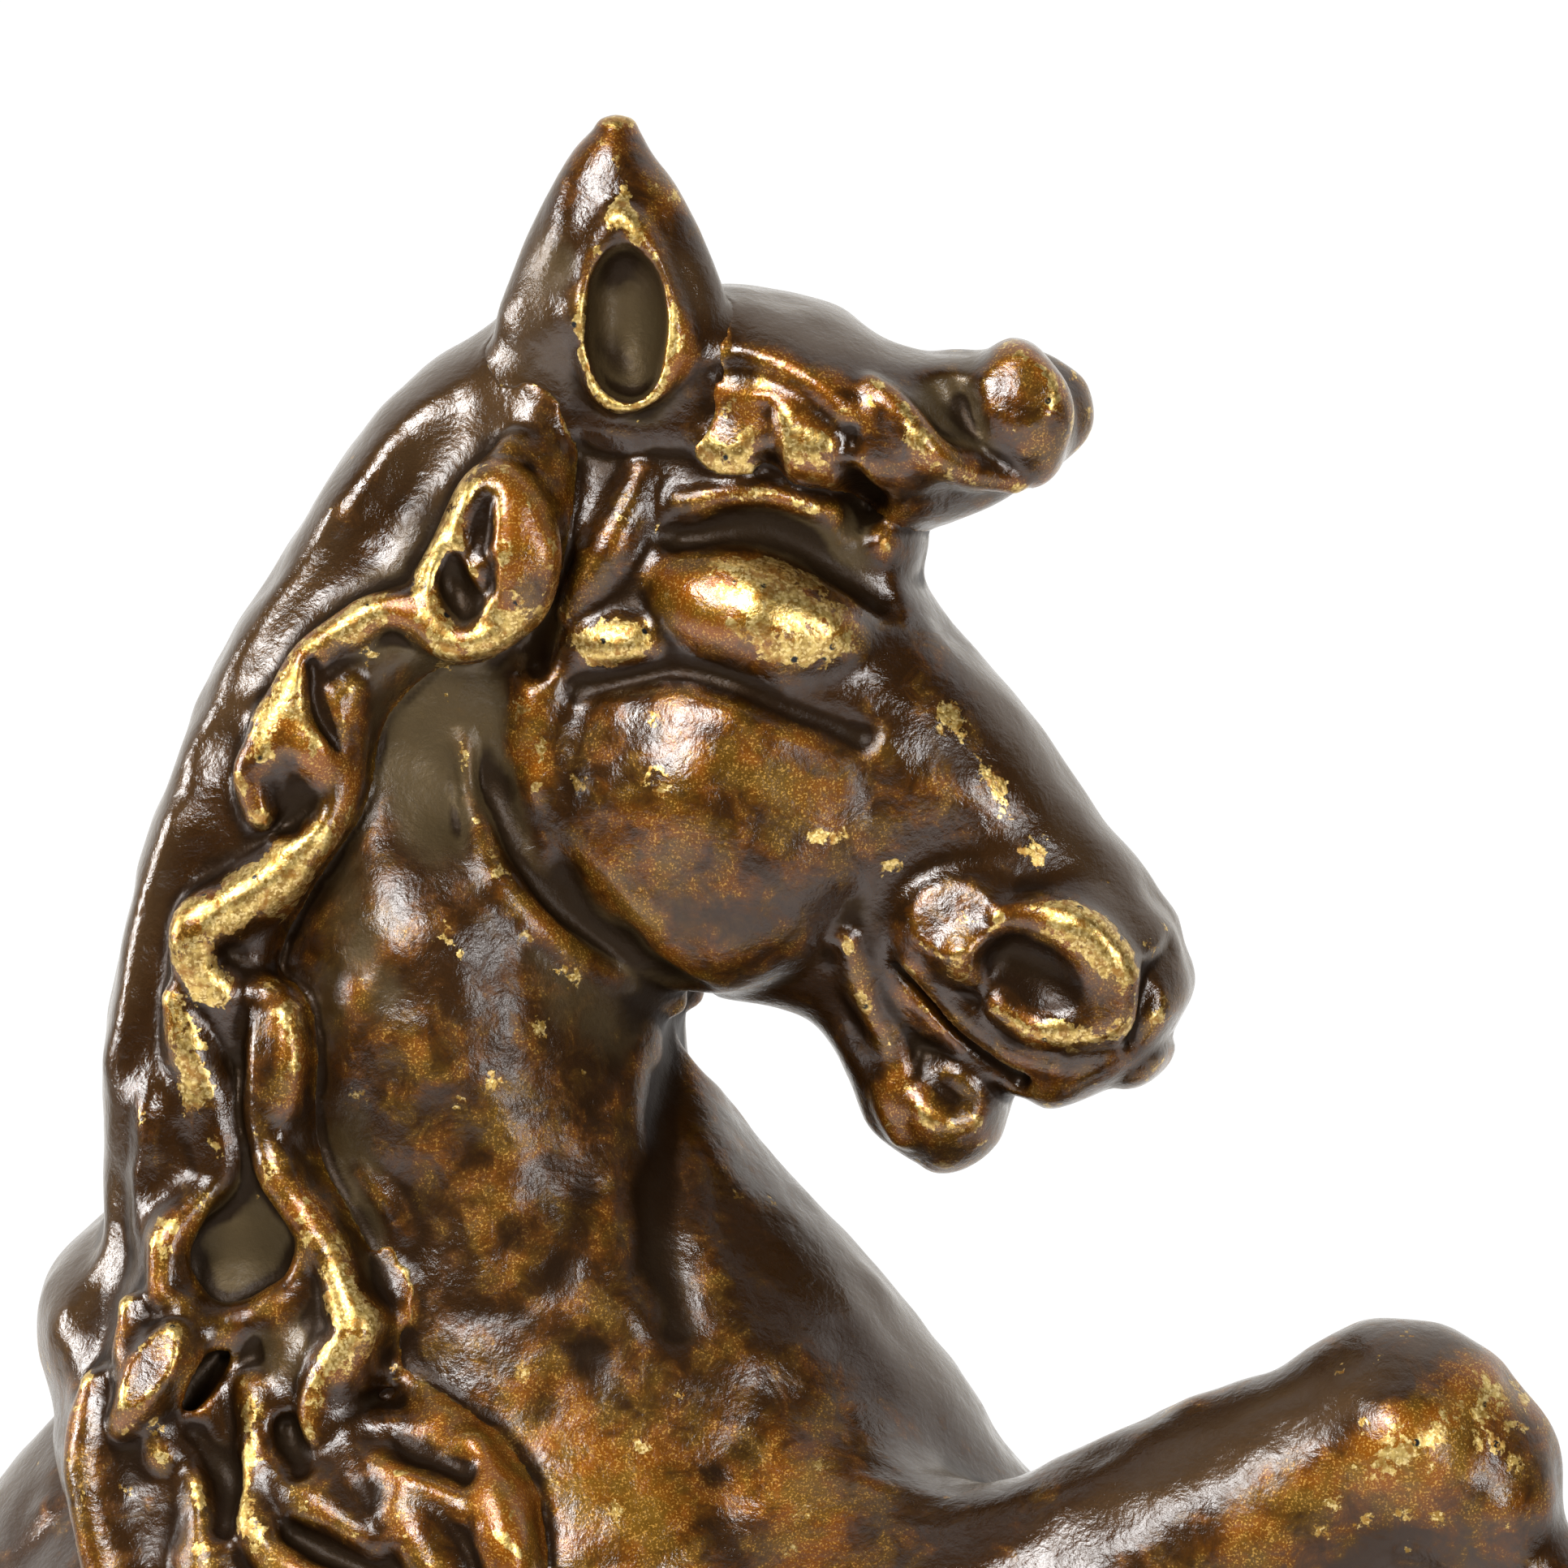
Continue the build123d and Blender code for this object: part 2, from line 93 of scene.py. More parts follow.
class Clay:
    """A block of distances to a surface, negative inside, on a regular grid."""

    def __init__(self, low, high, step):
        self.step = step
        self.low = np.array(low, np.float32)
        counts = [int((b - a) / step) + 2 for a, b in zip(low, high)]
        self.axes = [
            np.float32(start) + np.float32(step) * np.arange(count, dtype=np.float32)
            for start, count in zip(low, counts)
        ]
        self.field = np.full(counts, FAR, np.float32)

    def fresh(self):
        """Empty clay on the same grid."""
        other = Clay.__new__(Clay)
        other.step, other.low, other.axes = self.step, self.low, self.axes
        other.field = np.full(self.field.shape, FAR, np.float32)
        return other

    def copy(self):
        """The same clay again, to be worked separately."""
        other = self.fresh()
        other.field = self.field.copy()
        return other

    def window(self, low, high):
        """The slices of the grid that cover a box, and its coordinates there."""
        cut = []
        for axis, a, b in zip(self.axes, low, high):
            i, j = np.searchsorted(axis, (a, b))
            cut.append(slice(max(i - 1, 0), min(j + 1, len(axis))))
        if any(s.stop - s.start < 2 for s in cut):
            return None, None
        x, y, z = (axis[s] for axis, s in zip(self.axes, cut))
        return tuple(cut), (x[:, None, None], y[None, :, None], z[None, None, :])

    def work(self, cut, distance, soft, carve=False):
        """Adds a shape to the clay, or carves it away."""
        if carve:
            self.field[cut] = -melt(-self.field[cut], distance, soft)
        else:
            self.field[cut] = melt(self.field[cut], distance, soft)

    def lump(self, centre, radii, tilt=0.0, soft=0.6, carve=False, both=False, press=None):
        """An ellipsoid. tilt turns it in the side view, in degrees from +X towards +Z. both mirrors it in y,
        and press flattens it that far out."""
        reach = max(radii) + soft + MARGIN
        low = [c - reach for c in centre]
        high = [c + reach for c in centre]
        if both:
            high[1] = -low[1]
        cut, at = self.window(low, high)
        if cut is None:
            return
        x, y, z = at
        y = -np.abs(y) if both else y
        c, s = cos(radians(tilt)), sin(radians(tilt))
        u = ((x - centre[0]) * c + (z - centre[2]) * s) / radii[0]
        w = ((z - centre[2]) * c - (x - centre[0]) * s) / radii[2]
        v = (y - centre[1]) / radii[1]
        inner = np.sqrt(u * u + v * v + w * w)
        slope = np.sqrt((u / radii[0]) ** 2 + (v / radii[1]) ** 2 + (w / radii[2]) ** 2) + 1e-6
        distance = inner * (inner - 1) / slope
        if press:
            out = (x - centre[0]) * PRESSED[0] + (y - centre[1]) * PRESSED[1] + (z - centre[2]) * PRESSED[2]
            distance = np.maximum(distance, out - press)
        self.work(cut, distance.astype(np.float32), soft, carve)

    def lumps(self, rows, **how):
        """Several ellipsoids, each (centre, radii, tilt, soft)."""
        for centre, radii, tilt, soft in rows:
            self.lump(centre, radii, tilt, soft, **how)

    def facet(self, place, radii, tilt, lift, soft):
        """A lump on both sides, flattened by a tool held slightly above it, at (x, z) in the side view."""
        press = radii[1] * PRESS_DEPTH
        at = (place[0], self.side(*place) - lift, place[1])
        self.lump([a - press * n for a, n in zip(at, PRESSED)], radii, tilt, soft, both=True, press=press)

    def tube(self, points, soft, carve=False, both=False):
        """A round strand through (x, y, z, radius)."""
        path = smooth_path(points, 6)
        reach = path[:, 3].max() + soft + MARGIN
        low, high = path[:, :3].min(0) - reach, path[:, :3].max(0) + reach
        if both:
            high[1] = -low[1]
        cut, _ = self.window(low, high)
        if cut is None:
            return
        strand = np.full([s.stop - s.start for s in cut], FAR, np.float32)
        for a, b in zip(path, path[1:]):
            near, far = np.minimum(a, b)[:3] - reach, np.maximum(a, b)[:3] + reach
            if both:
                far[1] = -near[1]
            part, at = self.window(near, far)
            if part is None:
                continue
            x, y, z = at
            y = -np.abs(y) if both else y
            span = b[:3] - a[:3]
            from_start = (x - a[0], y - a[1], z - a[2])
            along = sum(c * s for c, s in zip(from_start, span)) / max(span @ span, 1e-9)
            t = np.clip(along, 0, 1)
            gap = sum((c - t * s) ** 2 for c, s in zip(from_start, span))
            distance = np.sqrt(gap) - (a[3] + t * (b[3] - a[3]))
            inside = tuple(slice(p.start - c.start, p.stop - c.start) for p, c in zip(part, cut))
            strand[inside] = np.minimum(strand[inside], distance.astype(np.float32))
        self.work(cut, strand, soft, carve)

    def loft(self, ribs, soft, power=2.0):
        """A body through ribs. Each has two outline points (x, z), a half width and the middle's y."""
        rows = [(*top, *bottom, width, y) for top, bottom, width, y in ribs]
        path = smooth_path(rows, 8)
        half_width = path[:, 4].max()
        side = np.abs(path[:, 5]).max() + half_width + soft + MARGIN
        reach = soft + 2.0
        xs, zs = path[:, [0, 2]], path[:, [1, 3]]
        low = (xs.min() - reach, -side, zs.min() - reach)
        high = (xs.max() + reach, side, zs.max() + reach)
        cut, at = self.window(low, high)
        if cut is None:
            return
        x, z = at[0][:, 0, :], at[2][:, 0, :]
        middle = (path[:, :2] + path[:, 2:4]) / 2
        across = (path[:, :2] - path[:, 2:4]) / 2
        depth = np.hypot(across[:, 0], across[:, 1])
        across = across / depth[:, None]
        onward = np.stack([across[:, 1], -across[:, 0]], 1)
        onward *= np.sign(((middle[-1] - middle[0]) * onward).sum(1))[:, None]
        shape = np.broadcast(x, z).shape
        best = np.full(shape, 1e9, np.float32)
        kept = [np.full(shape, fill, np.float32) for fill in (1.0, 1.0, 0.0)]
        last = len(path) - 2
        for i in range(last + 1):
            j = i + 1
            before = (x - middle[i, 0]) * onward[i, 0] + (z - middle[i, 1]) * onward[i, 1]
            after = (x - middle[j, 0]) * onward[j, 0] + (z - middle[j, 1]) * onward[j, 1]
            ok = (before >= 0) | (i == 0)
            ok &= (after <= 0) | (i == last)
            t = np.clip(before / np.maximum(before - after, 1e-6), 0, 1)
            past = np.where(before < 0, -before, 0) * (i == 0) + np.where(after > 0, after, 0) * (i == last)
            t = np.where(after > 0, 1.0, np.where(before < 0, 0.0, t))
            mx, mz = (middle[i, k] + t * (middle[j, k] - middle[i, k]) for k in (0, 1))
            ax, az = (across[i, k] + t * (across[j, k] - across[i, k]) for k in (0, 1))
            d = depth[i] + t * (depth[j] - depth[i])
            w = path[i, 4] + t * (path[j, 4] - path[i, 4])
            up = np.abs((x - mx) * ax + (z - mz) * az) / d
            end = past / (END_ROUND * np.minimum(d, w))
            off = np.sqrt(up**2 + end**2)
            take = ok & (off < best)
            best = np.where(take, off, best)
            y = path[i, 5] + t * (path[j, 5] - path[i, 5])
            for held, value in zip(kept, (d, w, y)):
                held[take] = value[take]
        d, w, mid = (k[:, None, :] for k in kept)
        u = best[:, None, :].astype(np.float32)
        v = np.abs(at[1] - mid) / w
        if power == 2.0:
            inner = np.sqrt(u * u + v * v)
            slope = np.sqrt((u / d) ** 2 + (v / w) ** 2) / np.maximum(inner, 1e-6)
        else:
            inner = (u**power + v**power) ** (1 / power)
            slope = np.sqrt((u ** (power - 1) / d) ** 2 + (v ** (power - 1) / w) ** 2)
            slope = slope / np.maximum(inner, 1e-6) ** (power - 1)
        distance = np.clip((inner - 1) / np.maximum(slope, 1e-6), -DEEP, FAR)
        self.work(cut, distance.astype(np.float32), soft)

    def side(self, x, z, hand=-1):
        """The y at which the clay's surface lies in the side view, on the near side or the far one."""
        i = int(np.clip(round(float((x - self.axes[0][0]) / self.step)), 0, len(self.axes[0]) - 1))
        k = int(np.clip(round(float((z - self.axes[2][0]) / self.step)), 0, len(self.axes[2]) - 1))
        column, y = self.field[i, :, k], self.axes[1]
        if hand > 0:
            column, y = column[::-1], y[::-1]
        inside = np.nonzero(column < 0)[0]
        if not len(inside) or inside[0] == 0:
            return 0.0
        j = inside[0]
        share = column[j - 1] / (column[j - 1] - column[j])
        return float(y[j - 1] + share * (y[j] - y[j - 1]))

    def lay(self, points, lift=0.0, hand=-1):
        """Puts side-view points (x, z, radius) on the surface, proud of it by lift."""
        return [(x, self.side(x, z, hand) + hand * lift, z, r) for x, z, r in points]


# ---------------------------------------------------------------- the horse's forms
TRUNK_PITCH = radians(50)
WITHERS = (10.0, 100.5)
TRUNK = [
    (17.0, -27.0, 3.6, 4.6),
    (13.5, -24.5, 8.2, 8.0),
    (8.0, -20.5, 12.0, 9.6),
    (2.0, -17.5, 14.0, 10.6),
    (-5.0, -16.0, 14.6, 11.0),
    (-13.0, -15.3, 14.0, 11.6),
    (-22.0, -14.6, 12.8, 11.8),
    (-30.0, -13.2, 11.6, 11.2),
    (-37.0, -12.0, 11.2, 11.0),
    (-44.0, -11.0, 10.6, 10.2),
    (-49.0, -10.8, 7.6, 7.6),
    (-51.0, -10.8, 4.8, 4.8),
]
NECK = [
    ((9.6, 93.0), (43.0, 93.5), 9.8, 0),
    ((11.8, 100.0), (40.9, 100.2), 9.2, 0),
    ((14.0, 105.5), (37.4, 105.2), 8.2, 0),
    ((14.5, 110.5), (33.3, 109.6), 7.2, 0),
    ((15.4, 115.5), (31.1, 113.0), 6.6, 0),
    ((17.2, 121.0), (31.5, 116.5), 6.0, 0),
    ((20.0, 127.0), (32.0, 120.0), 5.4, 0),
    ((24.5, 132.5), (33.0, 125.0), 4.6, 0),
]
HEAD = [
    ((29.5, 136.2), (25.2, 130.5), 3.2, 0),
    ((34.9, 133.8), (26.0, 124.6), 4.3, 0),
    ((37.8, 127.9), (26.6, 119.4), 4.7, 0),
    ((39.9, 125.1), (29.4, 116.1), 4.5, 0),
    ((41.8, 122.9), (32.6, 114.5), 3.9, 0),
    ((43.6, 120.5), (35.6, 113.8), 3.3, 0),
    ((45.3, 118.3), (38.4, 113.0), 3.1, 0),
    ((46.4, 116.1), (41.0, 111.7), 3.0, 0),
    ((46.7, 114.9), (42.6, 111.3), 2.6, 0),
    ((46.0, 113.4), (44.4, 112.0), 1.6, 0),
]
JAW = [
    ((34.0, 118.0), (32.2, 114.4), 2.8, 0),
    ((36.6, 115.8), (34.5, 113.9), 2.2, 0),
    ((38.4, 113.9), (36.1, 112.0), 2.0, 0),
    ((39.9, 112.7), (36.9, 110.4), 2.0, 0),
    ((40.9, 111.4), (38.4, 109.3), 1.6, 0),
]


def trunk_rib(forward, up, half_depth, half_width):
    """A rib square to the trunk's axis, placed from the withers."""
    c, s = cos(TRUNK_PITCH), sin(TRUNK_PITCH)
    top, bottom = up + half_depth, up - half_depth
    ends = [(WITHERS[0] + forward * c - v * s, WITHERS[1] + forward * s + v * c) for v in (top, bottom)]
    return (*ends, half_width, 0)


def sculpt_horse(clay):
    """Trunk, neck and head in one, before any hair."""
    clay.loft([trunk_rib(*row) for row in TRUNK], soft=0)
    clay.loft(NECK, soft=3.0)
    clay.loft(HEAD, soft=1.0, power=2.5)
    clay.loft(JAW, soft=0.7)


# swellings of the face, the same on both sides: centre, radii, tilt, softness
FACE = [
    ((24.3, -4.0, 113.6), (3.6, 3.6, 6.2), 10, 2.5),
    ((31.9, -2.7, 120.5), (5.8, 3.3, 5.8), 0, 0.5),
    ((33.6, -3.0, 126.5), (3.9, 2.7, 2.2), -18, 0.5),
    ((29.8, -3.9, 125.6), (1.6, 1.4, 1.1), 0, 0.5),
    ((33.2, -3.6, 122.9), (2.6, 1.5, 1.0), -10, 0.7),
    ((39.8, -2.3, 117.6), (2.0, 1.6, 1.6), 0, 0.8),
    ((42.7, -2.0, 115.8), (2.7, 2.1, 2.6), -20, 0.6),
    ((45.2, -0.8, 115.6), (1.0, 1.6, 1.7), -15, 0.8),
    ((43.4, -1.0, 112.8), (1.9, 1.7, 0.85), 20, 0.8),
    ((39.3, -0.8, 111.4), (1.6, 1.9, 1.8), -40, 0.5),
]
# creases cut into the face and neck: points (x, z, radius), softness, how far over the surface
CREASES = [
    ([(26.6, 126.4, 0.4), (26.0, 123.6, 0.7), (26.0, 121.4, 0.9), (27.2, 119.0, 0.9), (29.2, 116.8, 0.8),
      (31.6, 114.8, 0.6)], 1.0, 0.35),
    ([(28.6, 124.3, 0.2), (30.2, 124.6, 0.3), (31.9, 124.8, 0.3), (33.7, 124.3, 0.35), (35.6, 123.5, 0.4),
      (37.2, 122.9, 0.3)], 0.6, 0.12),
    ([(31.6, 128.9, 0.3), (33.6, 129.1, 0.4), (34.9, 128.9, 0.45), (36.2, 128.1, 0.5),
      (37.6, 127.0, 0.5)], 0.6, 0.0),
    ([(28.0, 128.0, 0.3), (27.5, 126.6, 0.5), (27.3, 125.0, 0.4)], 0.7, 0.1),
    ([(38.3, 115.9, 0.3), (39.1, 115.0, 0.4), (40.3, 113.6, 0.5), (41.6, 112.4, 0.5)], 0.4, -0.15),
    ([(46.3, 116.3, 0.15), (45.7, 115.6, 0.25), (45.4, 114.6, 0.25), (45.2, 113.6, 0.15)], 0.8, -0.1),
    ([(31.2, 113.6, 0.4), (31.2, 110.8, 0.6), (31.6, 107.6, 0.5), (32.2, 105.4, 0.2)], 1.5, 0.1),
]
# folds that stand out: points (x, z, radius), how far over the surface
RIDGES = [
    ([(41.4, 117.5, 0.3), (42.6, 117.5, 0.5), (44.0, 116.9, 0.6), (44.9, 115.5, 0.55), (44.4, 114.2, 0.5),
      (42.6, 113.8, 0.4), (41.2, 114.6, 0.3)], -0.2),
    ([(36.6, 116.6, 0.35), (37.1, 114.6, 0.45), (37.8, 113.0, 0.5), (37.7, 111.5, 0.4),
      (38.0, 110.4, 0.3)], -0.1),
    ([(38.7, 115.9, 0.3), (39.5, 115.1, 0.35), (41.3, 113.4, 0.4), (42.8, 112.9, 0.35)], -0.15),
    ([(31.6, 129.9, 0.2), (33.2, 130.1, 0.35), (34.6, 130.0, 0.35), (36.0, 129.5, 0.3)], -0.15),
    ([(30.4, 130.6, 0.5), (29.8, 129.2, 0.75), (29.0, 127.7, 0.65), (28.3, 126.6, 0.35)], -0.3),
    ([(25.0, 122.6, 0.2), (25.3, 120.4, 0.35), (26.3, 118.3, 0.45), (28.1, 116.3, 0.5),
      (30.8, 114.3, 0.4)], -0.2),
]


def sculpt_face(clay):
    """The hollow behind the jaw, cheek, brow, eye, muzzle, lips and chin."""
    clay.lump((24.6, -8.2, 121.6), (2.6, 3.0, 4.6), tilt=8, soft=1.6, carve=True, both=True)
    clay.lumps(FACE, both=True)
    clay.lump((41.5, 0, 110.9), (0.35, 4.0, 0.7), tilt=-35, carve=True)
    clay.lump((37.4, 0, 128.6), (1.0, 2.6, 1.2), soft=0.8)


def grooves(clay):
    """Creases and folds along the face and neck, on both sides."""
    for points, soft, lift in CREASES:
        clay.tube(clay.lay(points, lift), soft=soft, carve=True, both=True)
    clay.facet((40.0, 117.35), (1.9, 1.6, 1.7), 0, 0.25, soft=0.7)
    nostril = (42.5, clay.side(42.4, 115.6) - 0.1, 115.6)
    clay.lump(nostril, (1.8, 0.95, 1.05), tilt=-24, soft=0.8, carve=True, both=True)
    dimple = (39.4, clay.side(39.4, 112.0) - 0.2, 112.0)
    clay.lump(dimple, (1.6, 0.65, 0.5), tilt=-36, soft=0.6, carve=True, both=True)
    for points, lift in RIDGES:
        clay.tube(clay.lay(points, lift), soft=0.5, both=True)


EAR_RIM = [
    (29.0, 134.0), (28.9, 135.4), (29.0, 136.6), (29.4, 137.6), (30.0, 138.3), (30.6, 137.6), (31.1, 136.6),
    (31.5, 135.3), (31.5, 134.1), (30.9, 133.2), (30.0, 132.9), (29.3, 133.2), (29.0, 134.0),
]


def ear(clay, side, lean, drop):
    """One ear, a leaf with a rimmed hollow that faces out."""
    y = side * 3.4
    ribs = [
        ((24.6 + lean, 132.6), (33.2 + lean, 132.0), 1.2, y * 0.85),
        ((25.6 + lean, 134.9 - drop), (33.1 + lean, 134.6 - drop), 1.7, y),
        ((26.4 + lean, 136.9 - drop), (32.5 + lean, 136.9 - drop), 1.7, y),
        ((27.2 + lean, 138.7 - drop), (31.7 + lean, 138.7 - drop), 1.5, y),
        ((28.1 + lean, 140.2 - drop), (30.7 + lean, 140.2 - drop), 1.1, y),
        ((28.8 + lean, 141.1 - drop), (30.2 + lean, 141.1 - drop), 0.7, y),
    ]
    clay.loft(ribs, soft=1.8)
    out = y + side * 1.45
    clay.tube([(x + lean, out, z - drop, 0.35) for x, z in EAR_RIM], soft=0.6)
    clay.lump((30.2 + lean, out + side * 0.3, 135.2 - drop), (1.25, 1.15, 2.3), tilt=3, soft=0.3, carve=True)


NOISE_LOW, NOISE_SPAN = (-46.0, -27.0, 12.0), (116, 54, 134)  # the block that the unevenness fills
HORSE_UNEVENNESS = ((2.6, 0.07, 5), (1.2, 0.05, 6))  # how large, how deep, and the seed


def smooth_step(t):
    """0 to 1 with no kink at either end."""
    return t * t * (3 - 2 * t)


def hand_work(clay, cell, depth, seed):
    """The unevenness of wax worked by hand: rolling noise with features about as large as cell."""
    counts = [int(span / cell) + 3 for span in NOISE_SPAN]
    lattice = np.random.default_rng(seed).normal(0, 1, counts).astype(np.float32)
    for axis, start in zip(clay.axes, NOISE_LOW):
        place = (axis - start) / cell
        before = np.floor(place).astype(int)
        share = smooth_step(place - before).astype(np.float32)
        first, second = np.take(lattice, before, 0), np.take(lattice, before + 1, 0)
        share = share.reshape(-1, 1, 1)
        lattice = np.moveaxis(first + (second - first) * share, 0, 2)
    clay.field += depth * lattice


# ---------------------------------------------------------------- legs and tail
RIGHT_FORELEG = [(36.0, -7.0, 92.4), (54.1, -6.2, 102.5), (62.2, -6.0, 92.2), (61.2, -6.0, 87.6)]
LEFT_FORELEG = [(35.5, 7.0, 91.0), (51.5, 6.6, 93.6), (55.0, 6.4, 80.8), (52.2, 6.4, 77.0)]
RIGHT_HIND_LEG = [(4.6, -8.6, 48.5), (-8.8, -8.6, 35.2), (0.4, -8.6, 24.2), (3.0, -8.6, 21.6)]
LEFT_HIND_LEG = [(0.6, 8.6, 47.5), (-13.0, 8.6, 34.6), (-4.6, 8.6, 24.2), (-2.0, 8.6, 21.6)]
FOREARM = [(6.2, 4.6), (4.9, 4.2), (4.1, 3.7), (3.4, 3.2)]
GASKIN = [(6.8, 4.8), (5.6, 4.2), (4.2, 3.4), (3.0, 2.6)]
CANNON = [(2.8, 2.5), (2.1, 1.9), (2.3, 2.1)]
PASTERN = [(2.2, 2.1), (2.0, 1.9), (2.5, 2.4)]
HOOF = [(2.6, 2.5), (3.1, 2.8), (3.6, 3.1)]
HOOF_LENGTH = 4.6
# the joints from the top down, the upper bone's sections, and whether the hoof stands on the ground
LEGS = {
    "right_foreleg": (RIGHT_FORELEG, FOREARM, False),
    "left_foreleg": (LEFT_FORELEG, FOREARM, False),
    "right_hind_leg": (RIGHT_HIND_LEG, GASKIN, True),
    "left_hind_leg": (LEFT_HIND_LEG, GASKIN, True),
}


def bone(clay, start, end, sizes, soft=1.2):
    """A stretch of leg through sections of (half depth, half width) at equal steps."""
    a, b = np.array(start, float), np.array(end, float)
    run = b - a
    normal = np.array([-run[2], 0.0, run[0]]) / np.hypot(run[0], run[2])
    ribs = []
    for share, (depth, width) in zip(np.linspace(0, 1, len(sizes)), sizes):
        at = a + run * share
        top, bottom = at + normal * depth, at - normal * depth
        ribs.append(((top[0], top[2]), (bottom[0], bottom[2]), width, at[1]))
    clay.loft(ribs, soft=soft)


def hoof_end(fetlock, coronet, upright):
    """Where the middle of the sole lies."""
    along = np.array([0, 0, -1.0]) if upright else coronet - fetlock
    along[1] = 0
    return coronet + along / np.linalg.norm(along) * HOOF_LENGTH


def sculpt_leg(clay, joints, upper, upright):
    """A leg: upper bone, knee or hock, cannon, fetlock, pastern and hoof."""
    top, middle, fetlock, coronet = (np.array(joint) for joint in joints)
    bone(clay, top, middle, upper, soft=2.2)
    bone(clay, middle, fetlock, CANNON)
    bone(clay, fetlock, coronet, PASTERN)
    turn = np.degrees(np.arctan2(middle[2] - top[2], middle[0] - top[0]))
    if upright:
        clay.lump(middle + (-0.5, 0, 0.4), (3.3, 2.8, 3.0), tilt=turn, soft=1.0)
        clay.lump(middle + (-2.4, 0, 2.0), (1.5, 1.5, 2.6), tilt=turn + 75, soft=1.0)
    else:
        clay.lump(middle, (3.4, 3.3, 3.5), tilt=turn, soft=1.2)
        clay.lump(middle + (1.6, 0, -1.4), (2.9, 2.8, 2.7), tilt=turn, soft=0.8)
    clay.lump(fetlock, (2.7, 2.5, 2.6), soft=1.0)
    clay.lump(fetlock + ((-1.7, 0, -0.9) if upright else (-1.9, 0, 0.2)), (1.4, 1.5, 1.5), soft=0.8)
    for edge in (-1, 1):
        tendon = [
            (*(middle + (0.2, edge * 1.4, 0)), 1.0),
            (*((middle + fetlock) / 2 + (-1.0, edge * 0.9, -0.6)), 0.8),
            (*(fetlock + (-1.0, edge * 1.0, 0.2)), 0.9),
        ]
        clay.tube(tendon, soft=0.6)
    sole = hoof_end(fetlock, coronet, upright)
    bone(clay, coronet, sole, HOOF, soft=0.35)
    along = (sole - coronet) / HOOF_LENGTH
    across = np.array([-along[2], 0, along[0]])
    ring = []
    for angle in np.linspace(0, 2 * pi, 13):
        at = coronet + along * 0.2 + across * 2.55 * cos(angle) + (0, 2.45 * sin(angle), 0)
        ring.append((*at, 0.42))
    clay.tube(ring, soft=0.5)
    side = -1 if top[1] < 0 else 1
    clay.lump(middle + (0, side * 2.6, 0), (1.6, 0.9, 1.6), soft=0.8)


TAIL = [
    ((-11.0, 62.4), (-12.0, 57.4), 2.6, 0),
    ((-21.6, 65.0), (-20.6, 59.0), 2.8, 0),
    ((-28.0, 61.0), (-23.6, 56.2), 3.4, 0),
    ((-32.4, 50.4), (-24.4, 48.6), 4.0, 0),
    ((-33.0, 39.2), (-24.8, 38.8), 4.2, 0),
    ((-33.4, 29.4), (-26.0, 29.0), 3.6, 0),
    ((-34.0, 21.4), (-28.4, 21.0), 2.9, 0),
    ((-34.2, 15.0), (-29.2, 15.0), 2.6, 0),
]
TAIL_STRANDS, STRAND_DEPTH = 9, 0.93


def sculpt_tail(clay):
    """A full tail with wavy strands that wind along it."""
    clay.loft(TAIL, soft=1.0)
    rows = smooth_path([(*top, *bottom, width, y) for top, bottom, width, y in TAIL], 2)
    for i in range(TAIL_STRANDS):
        strand = []
        for row, (top_x, top_z, bottom_x, bottom_z, width, _) in enumerate(rows):
            share = row / (len(rows) - 1)
            angle = 2 * pi * i / TAIL_STRANDS + 0.9 * sin(2.6 * share * pi + i * 1.9)
            out, aside = STRAND_DEPTH * cos(angle), STRAND_DEPTH * sin(angle)
            x = (top_x + bottom_x) / 2 + (top_x - bottom_x) / 2 * out
            z = (top_z + bottom_z) / 2 + (top_z - bottom_z) / 2 * out
            fat = 0.55 + 0.45 * sin(pi * min(1.0, share * 1.1)) + 0.12 * sin(i * 2.3)
            strand.append((x, width * aside, z, fat))
        clay.tube(strand, soft=0.35)


def muscles(clay):
    """Shoulders, chest, ribs, flanks and haunches."""
    for side, leg in ((-1, RIGHT_FORELEG), (1, LEFT_FORELEG)):
        x, _, z = leg[0]
        clay.lump((19.0, side * 6.6, 94.5), (9.5, 3.6, 5.0), tilt=18, soft=3.0)
        clay.lump((29.5, side * 7.4, 95.0), (8.5, 3.2, 5.6), tilt=-12, soft=2.5)
        clay.lump((x, side * 7.2, z), (5.8, 4.0, 5.6), soft=2.5)
        clay.lump((38.2, side * 5.6, z + 4.6), (5.2, 3.6, 3.6), tilt=-42, soft=2.0)
        clay.lump((24.0, side * 8.0, 88.0), (7.5, 3.0, 4.2), tilt=55, soft=2.5)
    for side, leg in ((-1, RIGHT_HIND_LEG), (1, LEFT_HIND_LEG)):
        x, y, z = leg[0]
        clay.lump((-9.0, side * 5.6, 60.5), (9.0, 5.6, 8.0), tilt=30, soft=3.0)
        bone(clay, (-8.5, side * 6.0, 60.0), leg[0], [(10.5, 5.2), (9.4, 5.6), (6.6, 4.8)], soft=3.0)
        clay.lump((x + 0.6, y, z + 0.6), (5.4, 4.6, 5.2), soft=2.0)
    clay.lump((37.4, 0, 93.0), (4.6, 6.0, 7.0), soft=2.5)
    clay.lump((12.2, 0, 97.2), (6.6, 4.6, 3.0), tilt=42, soft=3.0)
    clay.lump((-13.4, -4.4, 56.0), (4.6, 4.2, 6.6), tilt=-50, soft=3.0, both=True)


